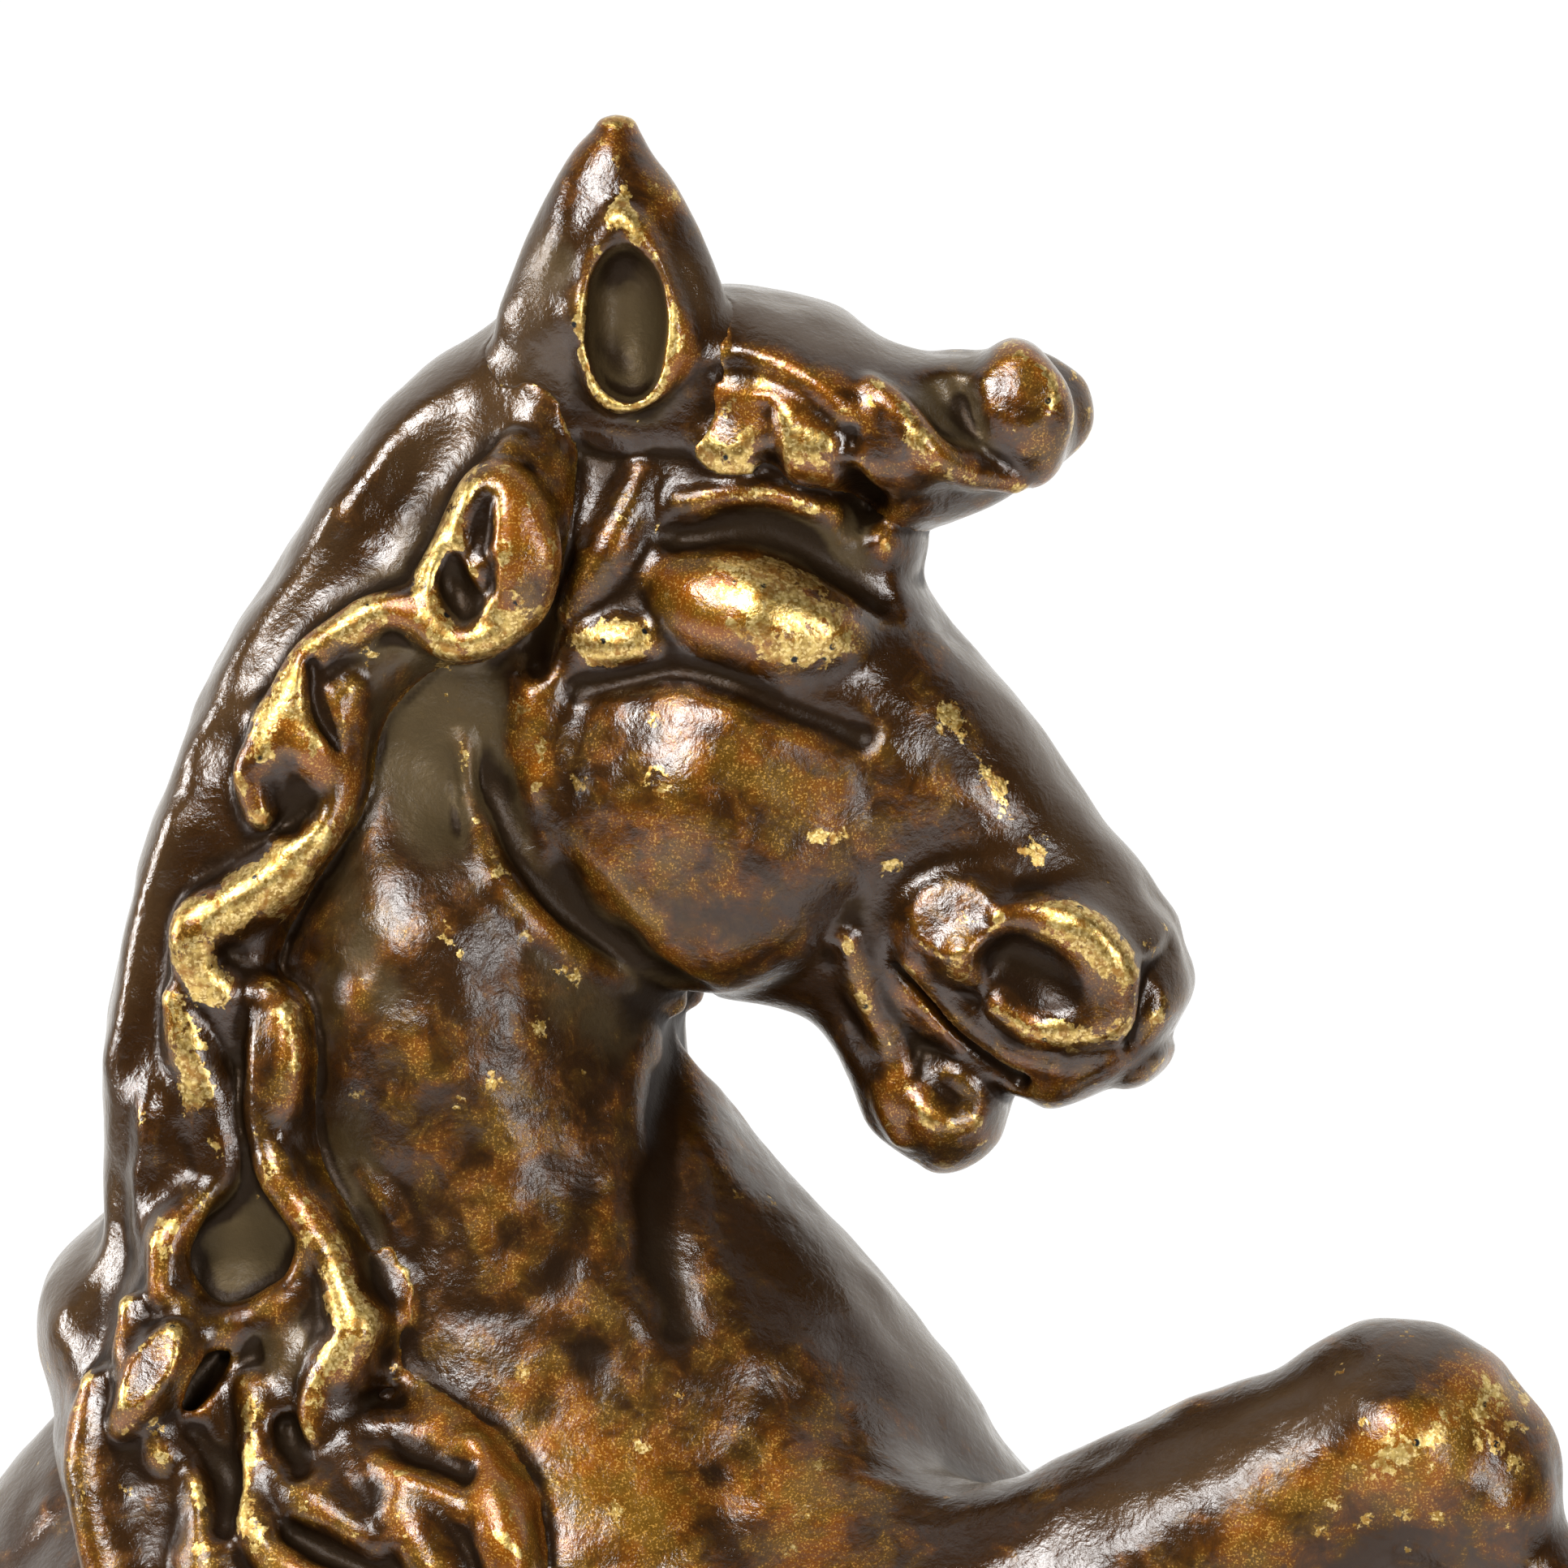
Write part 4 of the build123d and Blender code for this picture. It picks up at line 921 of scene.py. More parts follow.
# soft spots (x, z, reach along, reach across, tilt, strength) in the side view, by the mark they make
SPOTS = {
    "rub": [  # worn through to brass, on the near side only
        (34.6, 127.2, 2.0, 1.2, -30, 0.75), (35.6, 125.6, 1.6, 1.0, -30, 0.6),
        (29.6, 125.5, 1.3, 1.0, 0, 0.95), (44.3, 116.9, 1.5, 1.3, -45, 0.8),
        (43.4, 114.0, 1.4, 0.7, 0, 0.6), (24.6, 129.0, 1.0, 2.6, -10, 0.75),
        (26.4, 126.3, 1.6, 0.8, 10, 0.7), (22.4, 126.3, 1.4, 0.7, 5, 0.5),
        (20.1, 123.6, 0.8, 1.6, 0, 0.6), (19.2, 118.2, 2.0, 1.0, 45, 0.95),
        (17.8, 115.2, 0.8, 1.8, -8, 0.8), (17.2, 112.2, 0.8, 1.2, -8, 0.7),
        (22.2, 105.6, 1.0, 2.4, -10, 0.6), (19.4, 100.6, 0.7, 2.4, 0, 0.5),
        (30.0, 138.8, 0.5, 0.8, 0, 0.8), (30.4, 132.4, 0.7, 0.5, 0, 0.6), (33.4, 131.6, 1.2, 0.9, 0, 0.5),
        (35.6, 131.6, 0.9, 0.7, 0, 0.45), (31.0, 121.6, 1.3, 0.7, 10, 0.35),
        (25.6, 116.6, 0.8, 1.6, 20, 0.3), (39.7, 123.3, 1.0, 0.5, -60, 0.75),
        (41.2, 121.1, 1.2, 0.5, -55, 0.75), (42.2, 119.3, 1.0, 0.6, -50, 0.85),
        (38.1, 118.9, 1.0, 0.5, 10, 0.75), (36.2, 119.9, 0.8, 0.5, 0, 0.65),
        (26.2, 108.4, 0.8, 1.2, 10, 0.35), (52.6, 102.0, 5.0, 1.0, 27, 0.55),
        (56.4, 103.6, 1.6, 1.2, 0, 0.6), (38.5, 98.6, 2.6, 1.4, -30, 0.35),
    ],
    "olive": [  # an olive bloom; the two strong spots on the ear also stand in for a reflection, painted lighter
        (24.4, 122.4, 2.2, 4.4, 5, 1.0), (22.4, 116.5, 1.8, 4.5, 5, 0.8),
        (31.8, 117.0, 4.0, 2.4, 20, 0.6), (30.3, 135.2, 1.3, 2.3, 0, 1.8),
        (27.4, 136.4, 1.5, 3.8, -14, 0.9), (39.9, 132.8, 1.6, 1.6, 0, 0.9),
        (36.4, 128.8, 3.0, 1.0, -10, 0.7), (28.6, 114.6, 3.0, 1.2, -50, 0.6),
        (30.4, 106.0, 4.0, 3.0, 0, 0.3), (22.4, 109.6, 1.2, 4.0, 0, 0.6), (18.9, 107.4, 1.7, 1.9, 0, 1.0),
        (20.4, 104.6, 1.0, 1.4, 0, 0.6),
    ],
    "crest": [  # smooth dark stretches along the top edges
        (24.5, 134.0, 5.0, 3.4, 40, 1.0), (17.8, 126.6, 7.0, 2.6, 62, 1.2),
        (14.2, 117.6, 7.0, 2.0, 72, 1.2), (12.8, 109.0, 6.0, 2.0, 85, 1.2),
        (43.4, 121.0, 8.0, 1.3, -58, 1.0), (34.6, 135.8, 5.0, 1.3, -16, 1.0),
        (38.0, 105.5, 6.0, 1.6, -52, 0.8), (27.0, 138.2, 0.9, 4.0, -8, 0.6),
        (6.0, 97.5, 9.0, 3.0, 40, 0.8), (49.5, 102.8, 7.0, 1.0, 27, 0.9),
    ],
    "amber": [  # warmer lacquer
        (30.5, 119.0, 3.4, 2.6, 20, 0.5), (35.5, 120.6, 3.4, 2.0, -25, 0.5),
        (27.4, 122.4, 1.6, 1.6, 0, 0.7), (32.6, 126.6, 3.0, 1.6, -15, 0.8),
        (27.6, 110.4, 3.0, 4.0, -10, 0.35), (30.0, 101.0, 5.0, 3.4, -30, 0.9),
        (35.6, 100.6, 3.6, 2.0, -45, 0.9), (21.0, 122.8, 1.2, 3.0, -10, 0.8),
        (22.6, 126.2, 2.4, 0.8, 5, 0.9), (54.0, 102.8, 5.0, 1.4, 28, 0.9),
        (27.2, 129.6, 1.4, 2.6, 0, 0.7), (34.6, 133.0, 2.6, 1.4, -10, 0.6),
        (31.5, 135.6, 0.6, 3.0, 8, 1.2), (43.6, 116.8, 1.8, 1.4, -40, 0.7),
        (38.4, 113.0, 0.9, 2.0, 10, 0.6), (12.0, 103.5, 2.0, 2.0, 0, 0.7), (22.4, 97.8, 2.6, 1.0, 0, 0.8),
    ],
    "dull": [  # where the lacquer has dulled
        (26.5, 112.5, 4.6, 8.5, -8, 1.0), (30.0, 104.6, 5.0, 4.6, -20, 0.9),
        (24.0, 121.0, 3.0, 5.0, 5, 0.8), (18.9, 107.4, 2.0, 2.2, 0, 1.2), (30.3, 135.2, 1.6, 2.6, 0, 0.9),
        (34.4, 129.0, 4.0, 1.0, -12, 1.1), (32.0, 117.0, 4.6, 3.0, 20, 0.6),
        (35.9, 121.6, 1.8, 2.2, 0, 1.6), (39.9, 121.9, 0.8, 0.9, 0, 1.4), (42.2, 118.9, 1.2, 1.2, 0, 1.2),
        (51.0, 99.6, 9.0, 3.0, 27, 1.1), (20.0, 99.6, 6.0, 3.4, 0, 0.8),
    ],
    "painted_shade": [  # painted shade: hollows and creases kept dark, the seam by the forelock, and a darker low neck and foreleg
        (32.5, 133.9, 0.55, 1.7, 0, 0.9), (42.6, 115.5, 1.4, 0.85, -24, 1.3),
        (35.0, 128.9, 2.2, 0.45, -8, 0.9), (37.6, 129.2, 1.2, 0.5, -35, 0.9),
        (17.9, 103.4, 0.6, 1.0, -30, 1.4), (27.5, 125.4, 0.35, 1.6, -6, 0.9),
        (31.4, 112.4, 0.8, 2.4, 0, 0.7), (40.6, 112.9, 1.7, 0.45, -45, 1.0),
        (39.5, 111.7, 1.0, 0.4, -40, 0.6), (26.0, 129.1, 0.45, 0.8, 0, 1.0),
        (25.2, 127.4, 0.5, 0.5, 0, 1.0), (21.4, 123.5, 0.3, 1.1, 8, 1.0), (33.0, 104.5, 2.0, 6.0, 0, 0.3),
        (28.8, 107.0, 4.4, 5.4, 0, 0.8), (30.2, 112.6, 1.8, 5.0, 8, 0.6),
        (30.6, 114.0, 1.6, 3.0, 20, 0.5), (45.5, 98.0, 7.0, 3.2, 27, 0.9),
        (24.4, 104.0, 1.2, 3.0, 10, 0.5),
    ],
}


def averaged(values, first, second, counts, rounds):
    """Values spread over a mesh's neighbouring points, for some rounds."""
    for _ in range(rounds):
        total = values.copy()
        for k in range(values.shape[1]):
            total[:, k] += np.bincount(first, values[second, k], len(values))
            total[:, k] += np.bincount(second, values[first, k], len(values))
        values = total / counts
    return values


def read_surface(obj, step):
    """Stores how far each point stands out from its surroundings, closely and broadly, as attributes."""
    mesh = obj.data
    points = np.empty((len(mesh.vertices), 3), np.float32)
    normals = np.empty_like(points)
    mesh.vertices.foreach_get("co", points.ravel())
    mesh.vertices.foreach_get("normal", normals.ravel())
    edges = np.empty((len(mesh.edges), 2), np.int32)
    mesh.edges.foreach_get("vertices", edges.ravel())
    first, second = edges.T
    counts = 1.0 + np.bincount(first, minlength=len(points)) + np.bincount(second, minlength=len(points))
    points = points / MM
    close = averaged(points.astype(float), first, second, counts[:, None], round((CLOSE_REACH / step) ** 2))
    rounds = round((BROAD_REACH**2 - CLOSE_REACH**2) / step**2)
    wide = averaged(close, first, second, counts[:, None], rounds)
    store(obj, "ridge", ((points - close) * normals).sum(1) / CLOSE_SCALE)
    store(obj, "broad", ((points - wide) * normals).sum(1) / BROAD_SCALE)
    return points


def store(obj, name, values):
    """Keeps a number for each point of a mesh."""
    attribute = obj.data.attributes.new(name, "FLOAT", "POINT")
    attribute.data.foreach_set("value", np.clip(values, -MARK_LIMIT, MARK_LIMIT).astype(np.float32))


def mark_spots(obj, name, points):
    """Stores how strongly each point lies in the soft spots of one kind."""
    total = np.zeros(len(points))
    for x, z, along, across, tilt, strength in SPOTS[name]:
        c, s = cos(radians(tilt)), sin(radians(tilt))
        u = ((points[:, 0] - x) * c + (points[:, 2] - z) * s) / along
        v = ((points[:, 2] - z) * c - (points[:, 0] - x) * s) / across
        total = np.maximum(total, strength * np.exp(-(u * u + v * v)))
    if name == "rub":
        total *= points[:, 1] < 0
    store(obj, name, total)


# ---------------------------------------------------------------- materials
def feed(tree, socket, value):
    """Sets a socket to a constant, or links another node's output to it."""
    if isinstance(value, bpy.types.NodeSocket):
        tree.links.new(value, socket)
    elif isinstance(value, tuple) and len(value) == 3 and socket.type == "RGBA":
        socket.default_value = (*value, 1)
    else:
        socket.default_value = value


def add_node(tree, kind, settings, sockets, output=0):
    """Adds a node and returns one of its outputs."""
    made = tree.nodes.new(kind)
    for key, value in settings.items():
        setattr(made, key, value)
    for key, value in sockets.items():
        feed(tree, made.inputs[key], value)
    return made.outputs[output]


class Recipe:
    """A material written as nested calls. Lengths in its textures are in millimetres."""

    def __init__(self, name):
        self.material = bpy.data.materials.new(name)
        self.material.use_nodes = True
        self.tree = self.material.node_tree
        self.tree.nodes.clear()
        self.shader = self.tree.nodes.new("ShaderNodeBsdfPrincipled")
        output = self.tree.nodes.new("ShaderNodeOutputMaterial")
        self.tree.links.new(self.shader.outputs[0], output.inputs["Surface"])
        place = self.tree.nodes.new("ShaderNodeTexCoord").outputs["Object"]
        self.place = self.node("ShaderNodeVectorMath", {"operation": "SCALE"}, {0: place, 3: 1 / MM})

    def node(self, kind, settings, sockets, output=0):
        """Adds a node to the material and returns one of its outputs."""
        return add_node(self.tree, kind, settings, sockets, output)

    def shift(self, offset):
        """The place moved aside, so that two textures of one scale differ."""
        sockets = {0: self.place, 1: (offset, offset * 0.7, -offset)}
        return self.node("ShaderNodeVectorMath", {"operation": "ADD"}, sockets)

    def noise(self, scale, detail, rough, offset=0.0, bend=0.0):
        """Cloudy noise, scale being features per millimetre."""
        sockets = {"Vector": self.shift(offset), "Scale": scale, "Detail": detail}
        sockets |= {"Roughness": rough, "Distortion": bend}
        return self.node("ShaderNodeTexNoise", {}, sockets)

    def cells(self, scale, offset, feature="F1", output="Distance"):
        """Distances to scattered points, or a random colour around each."""
        sockets = {"Vector": self.shift(offset), "Scale": scale}
        return self.node("ShaderNodeTexVoronoi", {"feature": feature}, sockets, output)

    def math(self, operation, a, b=0.5):
        """A sum, product or the like of two numbers."""
        return self.node("ShaderNodeMath", {"operation": operation}, {0: a, 1: b})

    def times(self, a, b):
        """A product."""
        return self.math("MULTIPLY", a, b)

    def total(self, *terms):
        """A sum of (value, weight) pairs."""
        result = None
        for value, weight in terms:
            term = self.times(value, weight)
            result = term if result is None else self.math("ADD", result, term)
        return result

    def step(self, value, low, high):
        """0 below low, 1 above high, smooth between."""
        sockets = {0: value, 1: low, 2: high}
        return self.node("ShaderNodeMapRange", {"interpolation_type": "SMOOTHSTEP"}, sockets)

    def blend(self, share, a, b):
        """One colour into another."""
        return self.node("ShaderNodeMix", {"data_type": "RGBA"}, {0: share, 6: a, 7: b}, 2)

    def mix(self, share, a, b):
        """One number into another."""
        return self.node("ShaderNodeMix", {"data_type": "FLOAT"}, {0: share, 2: a, 3: b})

    def mark(self, name):
        """A number kept on the mesh's points."""
        return self.node("ShaderNodeAttribute", {"attribute_name": name}, {}, "Fac")

    def bump(self, height, depth, strength, normal=None):
        """A surface raised by a height of 0 to 1 times a depth in millimetres."""
        sockets = {"Strength": strength, "Distance": depth * MM, "Height": height}
        if normal:
            sockets["Normal"] = normal
        return self.node("ShaderNodeBump", {}, sockets)

    def finish(self, **sockets):
        """Fills in the shader and returns the material."""
        for key, value in sockets.items():
            feed(self.tree, self.shader.inputs[key.replace("_", " ")], value)
        return self.material


def patina():
    """Dark lacquered bronze: brown and amber with gold dust, olive hollows, painted shade in the creases,
    ridges worn to brass.
    """
    r = Recipe("bronze_patina")
    ridge, broad, rubbed, olive = (r.mark(name) for name in ("ridge", "broad", "rub", "olive"))
    crest, amber, dull, painted_shade = (r.mark(name) for name in ("crest", "amber", "dull", "painted_shade"))
    cloud, mottle = r.noise(0.33, 5, 0.6), r.noise(1.3, 6, 0.62, 7.0, 0.3)
    crumb, grain = r.noise(4.5, 4, 0.6, 3.0), r.noise(15.0, 2, 0.5, 11.0)
    patches = r.noise(1.0, 7, 0.68, 17.0, 0.6)

    # brown, with patches of amber and gold dust in them
    warm = r.total((cloud, 0.5), (patches, 0.8), (amber, 0.35), (broad, 0.15), (ridge, 0.1), (crest, -0.35))
    warm = r.step(warm, 0.62, 1.1)
    reddish = r.step(r.noise(0.8, 5, 0.6, 27.0), 0.4, 0.62)
    amber_tone = r.blend(reddish, (0.215, 0.069, 0.0025), (0.16, 0.083, 0.008))
    colour = r.blend(warm, (0.028, 0.011, 0.0017), amber_tone)
    dust = r.times(r.step(grain, 0.54, 0.66), r.step(r.total((warm, 0.7), (patches, 0.7)), 0.4, 0.95))
    colour = r.blend(r.times(dust, 0.65), colour, (0.56, 0.33, 0.075))

    # olive hollows, lighter on the ear as a painted reflection, smooth dark crests, and painted shade that
    # turns the creases nearly black
    hollow = r.step(r.total((olive, 0.9), (broad, -0.45), (ridge, -0.12), (mottle, 0.4)), 0.42, 0.9)
    colour = r.blend(r.times(hollow, 0.85), colour, (0.082, 0.058, 0.027))
    smooth = r.step(r.total((crest, 1.0), (cloud, 0.5)), 0.45, 0.95)
    colour = r.blend(r.times(smooth, 0.8), colour, (0.058, 0.034, 0.017))
    # painted shade: concave places and the shade spots go nearly black
    painted_crease_shade = r.total((ridge, -0.8), (broad, -0.5), (crumb, 0.2), (painted_shade, 0.9), (olive, -0.5))
    painted_crease_shade = r.step(painted_crease_shade, 0.42, 1.0)
    colour = r.blend(r.times(painted_crease_shade, 0.88), colour, (0.012, 0.005, 0.0015))

    # where it is worn to brass: on the ridges, in the rubbed spots and in scattered freckles
    worn = r.total((rubbed, 0.9), (ridge, 0.3), (broad, 0.14), (mottle, 1.7), (crumb, 0.5), (crest, -0.35))
    worn = r.step(r.total((worn, 1.0), (painted_shade, -0.5)), 1.63, 1.71)
    chance = r.cells(0.95, 33.0, output="Color")
    chosen = r.step(r.total((chance, 1.0), (rubbed, 0.25), (amber, 0.12)), 0.8, 0.84)
    freckle = r.total((r.cells(0.95, 33.0), 0.8), (crumb, 1.1), (painted_crease_shade, 0.3), (crest, 0.3))
    freckle = r.step(freckle, 0.75, 0.66)
    worn = r.math("MAXIMUM", worn, r.times(chosen, freckle))

    # the brass itself, with bright flakes, a thin brown film and small dark pits
    brass = r.blend(r.step(crumb, 0.35, 0.65), (0.26, 0.15, 0.028), (0.62, 0.45, 0.15))
    flakes = r.step(r.cells(13.0, 5.0, output="Color"), 0.55, 0.75)
    brass = r.blend(r.times(flakes, 0.6), brass, (0.92, 0.74, 0.36))
    film = r.times(r.step(r.noise(2.3, 4, 0.6, 37.0), 0.5, 0.64), 0.75)
    brass = r.blend(film, brass, (0.3, 0.13, 0.018))
    pits = r.times(r.step(r.cells(1.1, 21.0), 0.16, 0.1), r.step(crumb, 0.42, 0.5))
    brass = r.blend(pits, brass, (0.012, 0.013, 0.014))
    colour = r.blend(worn, colour, brass)

    # the metal's own surface and the lacquer over it
    body = r.bump(crumb, 0.03, 0.6, r.bump(grain, 0.01, 0.5))
    lacquer = r.bump(r.total((mottle, 0.8), (crumb, 0.2)), 0.12, 0.6)
    dusty = r.times(r.step(patches, 0.45, 0.62), r.math("SUBTRACT", 1.0, smooth))
    bare = r.total((worn, 0.55), (painted_crease_shade, 0.8), (hollow, 0.35), (dusty, 0.25), (dull, 0.6))
    return r.finish(
        Base_Color=colour,
        Metallic=r.mix(worn, 0.65, 0.95),
        Roughness=r.total((r.mix(worn, 0.42, 0.34), 1.0), (dull, 0.16)),
        Specular_IOR_Level=0.1,
        Normal=body,
        Coat_Weight=r.mix(bare, 0.92, 0.08),
        Coat_Roughness=r.total((smooth, 0.05), (hollow, 0.16), (dusty, 0.12), (crumb, 0.1), (dull, 0.14)),
        Coat_IOR=1.6,
        Coat_Tint=(1.0, 0.87, 0.62),
        Coat_Normal=lacquer,
    )


def marble():
    """Polished near-black stone with thin pale veins."""
    r = Recipe("plinth_stone")
    veins = r.cells(0.07, 3.0, "DISTANCE_TO_EDGE")
    wander = r.noise(0.12, 6, 0.6, 2.0, 1.4)
    thin = r.step(r.math("ABSOLUTE", r.math("SUBTRACT", wander, 0.5)), 0.012, 0.0)
    cloud = r.noise(0.06, 5, 0.6, 9.0)
    colour = r.blend(r.step(cloud, 0.35, 0.7), (0.008, 0.008, 0.009), (0.03, 0.029, 0.03))
    share = r.total((thin, 0.36), (r.step(veins, 0.014, 0.0), 0.14))
    colour = r.blend(share, colour, (0.42, 0.39, 0.35))
    speck = r.step(r.noise(5.0, 3, 0.6, 4.0), 0.62, 0.74)
    colour = r.blend(r.times(speck, 0.3), colour, (0.12, 0.115, 0.11))
    ripple = r.bump(r.noise(0.25, 2, 0.5, 6.0), 0.03, 0.3)
    return r.finish(
        Base_Color=colour,
        Roughness=r.mix(speck, 0.16, 0.3),
        Normal=ripple,
        Coat_Weight=0.6,
        Coat_Roughness=0.05,
    )


def felt():
    """Dense green baize with a fuzzy, slightly matted surface."""
    r = Recipe("base_felt")
    fibre, matted = r.noise(7.0, 6, 0.75, 1.0, 1.2), r.noise(0.4, 4, 0.6, 2.0)
    colour = r.blend(r.step(fibre, 0.3, 0.7), (0.008, 0.035, 0.02), (0.028, 0.105, 0.06))
    colour = r.blend(r.times(r.step(matted, 0.5, 0.75), 0.35), colour, (0.05, 0.12, 0.08))
    return r.finish(
        Base_Color=colour,
        Roughness=0.95,
        Normal=r.bump(fibre, 0.12, 0.9),
        Sheen_Weight=0.6,
        Sheen_Roughness=0.5,
    )


def metal(name, light, dark, matt, tarnish):
    """Turned metal with lathe marks, light scratches and tarnish."""
    r = Recipe(name)
    rings = r.noise(9.0, 3, 0.6, 2.0)
    stain = r.step(r.noise(0.8, 5, 0.6, 8.0), 0.45, 0.7)
    colour = r.blend(r.times(stain, tarnish), light, dark)
    return r.finish(
        Base_Color=colour,
        Metallic=1.0,
        Roughness=r.total((rings, 0.25), (stain, 0.2), (r.noise(2.0, 2, 0.5), matt)),
        Normal=r.bump(rings, 0.01, 0.5),
    )


def plaster():
    """The studio's pale matt floor, which glows white further out, a painted glow that brightens it into the
    light beyond it.
    """
    r = Recipe("studio_floor")
    reach = r.node("ShaderNodeVectorMath", {"operation": "LENGTH"}, {0: r.place}, "Value")
    # painted glow: past 150 mm the floor turns from matt grey into glowing white
    painted_glow = r.step(reach, 150.0, 400.0)
    colour = r.blend(r.noise(0.02, 3, 0.5), (0.88, 0.88, 0.885), (0.93, 0.93, 0.932))
    colour = r.blend(painted_glow, colour, (0.0, 0.0, 0.0))
    white = (1.0, 1.0, 1.0)
    return r.finish(Base_Color=colour, Roughness=0.75, Emission_Color=white, Emission_Strength=painted_glow)


# ---------------------------------------------------------------- pieces
def mount_piece(obj, node, material):
    """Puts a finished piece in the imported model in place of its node."""
    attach(obj, "root")
    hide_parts(node)
    obj.data.materials.clear()
    obj.data.materials.append(material)


def bronze_piece(clay, name, node, cuts=()):
    """Skins a casting, reads its wear and painted shade, saws it and mounts it."""
    obj = skin(clay, name)
    points = read_surface(obj, clay.step)
    for mark in SPOTS:
        mark_spots(obj, mark, points)
    if cuts:
        saw(obj, cuts)
    crumbs_off(obj)
    mount_piece(obj, node, BRONZE)
    return obj


def ellipse_gap(x, y, half_length, half_width):
    """About how far a place lies outside an ellipse."""
    inner = np.sqrt((x / half_length) ** 2 + (y / half_width) ** 2)
    slope = np.sqrt((x / half_length**2) ** 2 + (y / half_width**2) ** 2) / np.maximum(inner, 1e-6)
    return (inner - 1) / np.maximum(slope, 1e-6)


PUCK_ROOM = 1.5  # how much of the grid is left free around a puck


def puck(low, high, step, soft):
    """Clay in the shape of a thin oval slab with rounded edges."""
    clay = Clay([v - PUCK_ROOM for v in low], [v + PUCK_ROOM for v in high], step)
    x, y, z = clay.axes[0][:, None, None], clay.axes[1][None, :, None], clay.axes[2][None, None, :]
    half = [(b - a) / 2 for a, b in zip(low, high)]
    middle = [(b + a) / 2 for a, b in zip(low, high)]
    rim = ellipse_gap(x - middle[0], y - middle[1], half[0], half[1])
    slab = np.abs(z - middle[2]) - half[2]
    clay.field = np.clip(-melt(-rim, -slab, soft), -FAR, FAR).astype(np.float32)
    return clay


def box_in_mm(node):
    """A node's corners in millimetres."""
    low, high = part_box(node)
    return [v / MM for v in low], [v / MM for v in high]


BRONZE = patina()
SHOULDER_X, GASKIN_Z = 44.4, 43.0  # where the forelegs and the hind legs are joined on
EVERYWHERE = ((-99, -99, -99), (199, 99, 199))
FORELEG_ROOM = ((38, -14, 70), (70, 14, 107))
ABOVE_SEAM = ((0, 0, SEAM_HEIGHT), (0, 0, -1), EVERYWHERE)
BELOW_SEAM = ((0, 0, SEAM_HEIGHT), (0, 0, 1), EVERYWHERE)
FORELEGS_OFF = ((SHOULDER_X, 0, 0), (1, 0, 0), FORELEG_ROOM)
HIND_LEGS_OFF = ((0, 0, GASKIN_Z), (0, 0, -1), EVERYWHERE)
LEG_BLOCKS = {
    "right_foreleg": ((42, -12, 80), (68, -0.5, 110), FINE),
    "left_foreleg": ((42, 0.5, 68), (62, 12, 102), MIDDLE),
    "right_hind_leg": ((-18, -14, 15), (10, -0.5, 45), MIDDLE),
    "left_hind_leg": ((-21, 0.5, 15), (8, 14, 45), MIDDLE),
}

horse, mane, forelock, whole, laid = whole_statuette((5, -13, 86), (50, 12, 143), FINE)
neck = owned(whole, horse, (mane, forelock), TUCK)
bronze_piece(neck, "head_and_neck", "head_and_neck_casting", [ABOVE_SEAM, FORELEGS_OFF])
bronze_piece(owned(whole, mane, (horse,)), "mane", "mane_casting")
bronze_piece(owned(whole, forelock, (horse,)), "forelock", "forelock_casting")

horse, mane, forelock, whole, laid = whole_statuette((-24, -14.5, 41), (47, 14.5, 100.5), MIDDLE, laid)
trunk = owned(whole, horse, (mane,), TUCK)
bronze_piece(trunk, "body", "body_casting", [BELOW_SEAM, FORELEGS_OFF, HIND_LEGS_OFF])

for name, (low, high, step) in LEG_BLOCKS.items():
    leg = Clay(low, high, step)
    sculpt_horse(leg)
    muscles(leg)
    joints, upper, upright = LEGS[name]
    sculpt_leg(leg, joints, upper, upright)
    for unevenness in HORSE_UNEVENNESS:
        hand_work(leg, *unevenness)
    if upright:
        cut = ((0, 0, GASKIN_Z), (0, 0, 1), EVERYWHERE)
    else:
        cut = ((SHOULDER_X, 0, 0), (-1, 0, 0), EVERYWHERE)
    bronze_piece(leg, name, name + "_casting", [cut])

tail = Clay((-38, -7, 15), (-8, 7, 68), MIDDLE)
sculpt_tail(tail)
rump = tail.fresh()
sculpt_horse(rump)
muscles(rump)
hand_work(tail, 1.1, 0.035, 6)
tail.field = np.maximum(tail.field, -rump.field)
bronze_piece(tail, "tail", "tail_casting", [((0, 0, GROUND_TOP), (0, 0, -1), EVERYWHERE)])

ground = puck(*box_in_mm("ground_casting"), 0.45, 2.4)
for joints, _, upright in LEGS.values():
    if upright:
        x, y, _ = joints[3]
        ground.lump((x + 0.6, y, GROUND_TOP - 0.9), (6.0, 5.2, 1.25), soft=1.0)
ground.lump((-31.6, 0, GROUND_TOP - 0.9), (5.0, 4.6, 1.3), soft=1.0)
hand_work(ground, 5.5, 0.16, 9)
hand_work(ground, 1.6, 0.07, 8)
bronze_piece(ground, "ground", "ground_casting")

felt_low, felt_high = box_in_mm("felt_pad")
pad = skin(puck(felt_low, felt_high, 0.25, 0.5), "felt")
mount_piece(pad, "felt_pad", felt())

dowel_brass = metal("dowel_brass", (0.78, 0.56, 0.24), (0.35, 0.2, 0.07), 0.4, 0.6)
fixing_steel = metal("fixing_steel", (0.6, 0.6, 0.61), (0.3, 0.29, 0.28), 0.5, 0.5)
stone = marble()
for node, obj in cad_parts.items():
    if obj.hide_render:
        continue
    if node == "stone_plinth":
        finish = stone
    elif node in ("hold_down_studs", "washers", "nuts"):
        finish = fixing_steel
    else:
        finish = dowel_brass
    obj.data.materials.clear()
    obj.data.materials.append(finish)


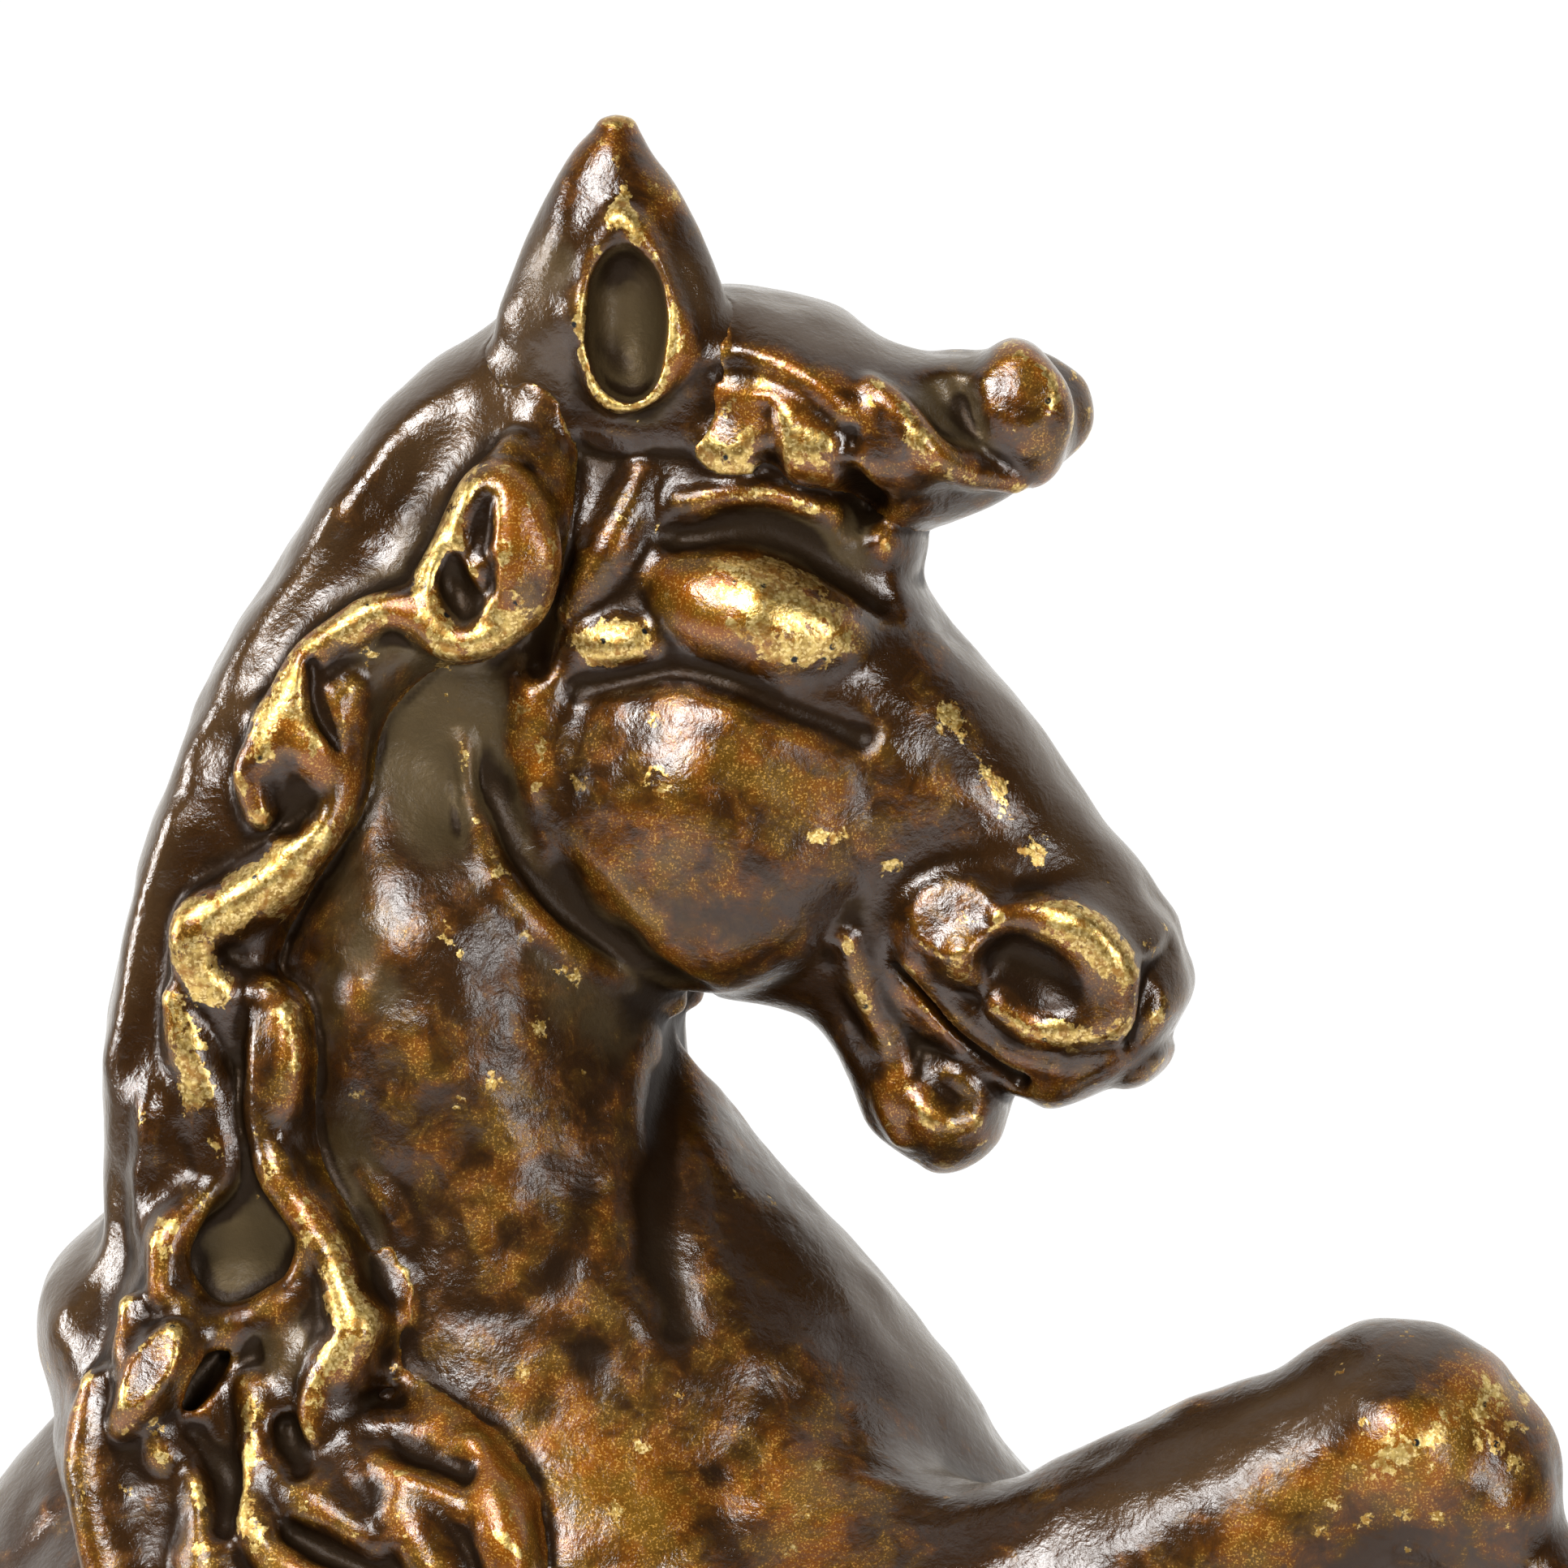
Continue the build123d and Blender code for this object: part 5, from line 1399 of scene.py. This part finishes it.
# ---------------------------------------------------------------- studio
def softbox(name, place, aim, size, power):
    """A square area light that faces a point. Lengths in millimetres."""
    light = bpy.data.lights.new(name, "AREA")
    light.shape, light.size, light.size_y, light.energy = "RECTANGLE", size[0] * MM, size[1] * MM, power
    obj = bpy.data.objects.new(name, light)
    obj.location = Vector(place) * MM
    obj.rotation_euler = (Vector(place) - Vector(aim)).to_track_quat("Z", "Y").to_euler()
    bpy.context.scene.collection.objects.link(obj)


def tent():
    """A light tent, white all round but dark where the lens looks in. The lens itself sees only white."""
    world = bpy.data.worlds.new("tent")
    world.use_nodes = True
    tree = world.node_tree
    tree.nodes.clear()
    way = add_node(tree, "ShaderNodeTexCoord", {}, {}, "Generated")
    lens = {0: way, 1: (0.0, -0.89, -0.45)}
    front = add_node(tree, "ShaderNodeVectorMath", {"operation": "DOT_PRODUCT"}, lens, "Value")
    edge = {0: front, 1: -0.62, 2: 0.0}
    share = add_node(tree, "ShaderNodeMapRange", {"interpolation_type": "SMOOTHSTEP"}, edge)
    white, dark = (1.0, 1.0, 1.0), (0.045, 0.042, 0.04)
    colour = add_node(tree, "ShaderNodeMix", {"data_type": "RGBA"}, {0: share, 6: white, 7: dark}, 2)
    seen = add_node(tree, "ShaderNodeLightPath", {}, {}, "Is Camera Ray")
    colour = add_node(tree, "ShaderNodeMix", {"data_type": "RGBA"}, {0: seen, 6: colour, 7: white}, 2)
    back = add_node(tree, "ShaderNodeBackground", {}, {"Color": colour, "Strength": 1.05})
    output = tree.nodes.new("ShaderNodeOutputWorld")
    tree.links.new(back, output.inputs["Surface"])
    bpy.context.scene.world = world


FLOOR_MIDDLE, FLOOR_RADII, FLOOR_SIDES = 10, (60.0, 150.0, 420.0), 48


def floor():
    """A broad pale disc under the statuette."""
    mesh = bmesh.new()
    rings = [[mesh.verts.new(Vector((FLOOR_MIDDLE, 0, 0)) * MM)]]
    turns = [2 * pi * i / FLOOR_SIDES for i in range(FLOOR_SIDES)]
    for radius in FLOOR_RADII:
        rim = [Vector((FLOOR_MIDDLE + radius * cos(turn), radius * sin(turn), 0)) * MM for turn in turns]
        rings.append([mesh.verts.new(place) for place in rim])
    for i in range(FLOOR_SIDES):
        j = (i + 1) % FLOOR_SIDES
        mesh.faces.new((rings[0][0], rings[1][i], rings[1][j]))
        for inner, outer in zip(rings[1:], rings[2:]):
            mesh.faces.new((inner[i], outer[i], outer[j], inner[j]))
    data = bpy.data.meshes.new("studio_floor")
    mesh.to_mesh(data)
    mesh.free()
    data.materials.append(plaster())
    obj = bpy.data.objects.new("studio_floor", data)
    bpy.context.scene.collection.objects.link(obj)


AIM = (34.0, 0.0, 121.0)
CAMERA_TURN, CAMERA_RISE, CAMERA_DISTANCE, LENS = radians(11), radians(5), 201.25, 150

camera = bpy.data.cameras.new("camera")
camera.lens, camera.clip_start = LENS, 0.01
viewer = bpy.data.objects.new("camera", camera)
away = Vector((sin(CAMERA_TURN) * cos(CAMERA_RISE), -cos(CAMERA_TURN) * cos(CAMERA_RISE), sin(CAMERA_RISE)))
viewer.location = (Vector(AIM) + away * CAMERA_DISTANCE) * MM
viewer.rotation_euler = away.to_track_quat("Z", "Y").to_euler()
bpy.context.scene.collection.objects.link(viewer)
bpy.context.scene.camera = viewer
bpy.context.scene.view_settings.view_transform = "Standard"

tent()
floor()
softbox("key", (-60, -270, 300), AIM, (120, 120), 1.25)
softbox("fill", (230, -190, 150), AIM, (40, 120), 0.36)
softbox("strip", (-230, -60, 170), AIM, (40, 120), 0.5)
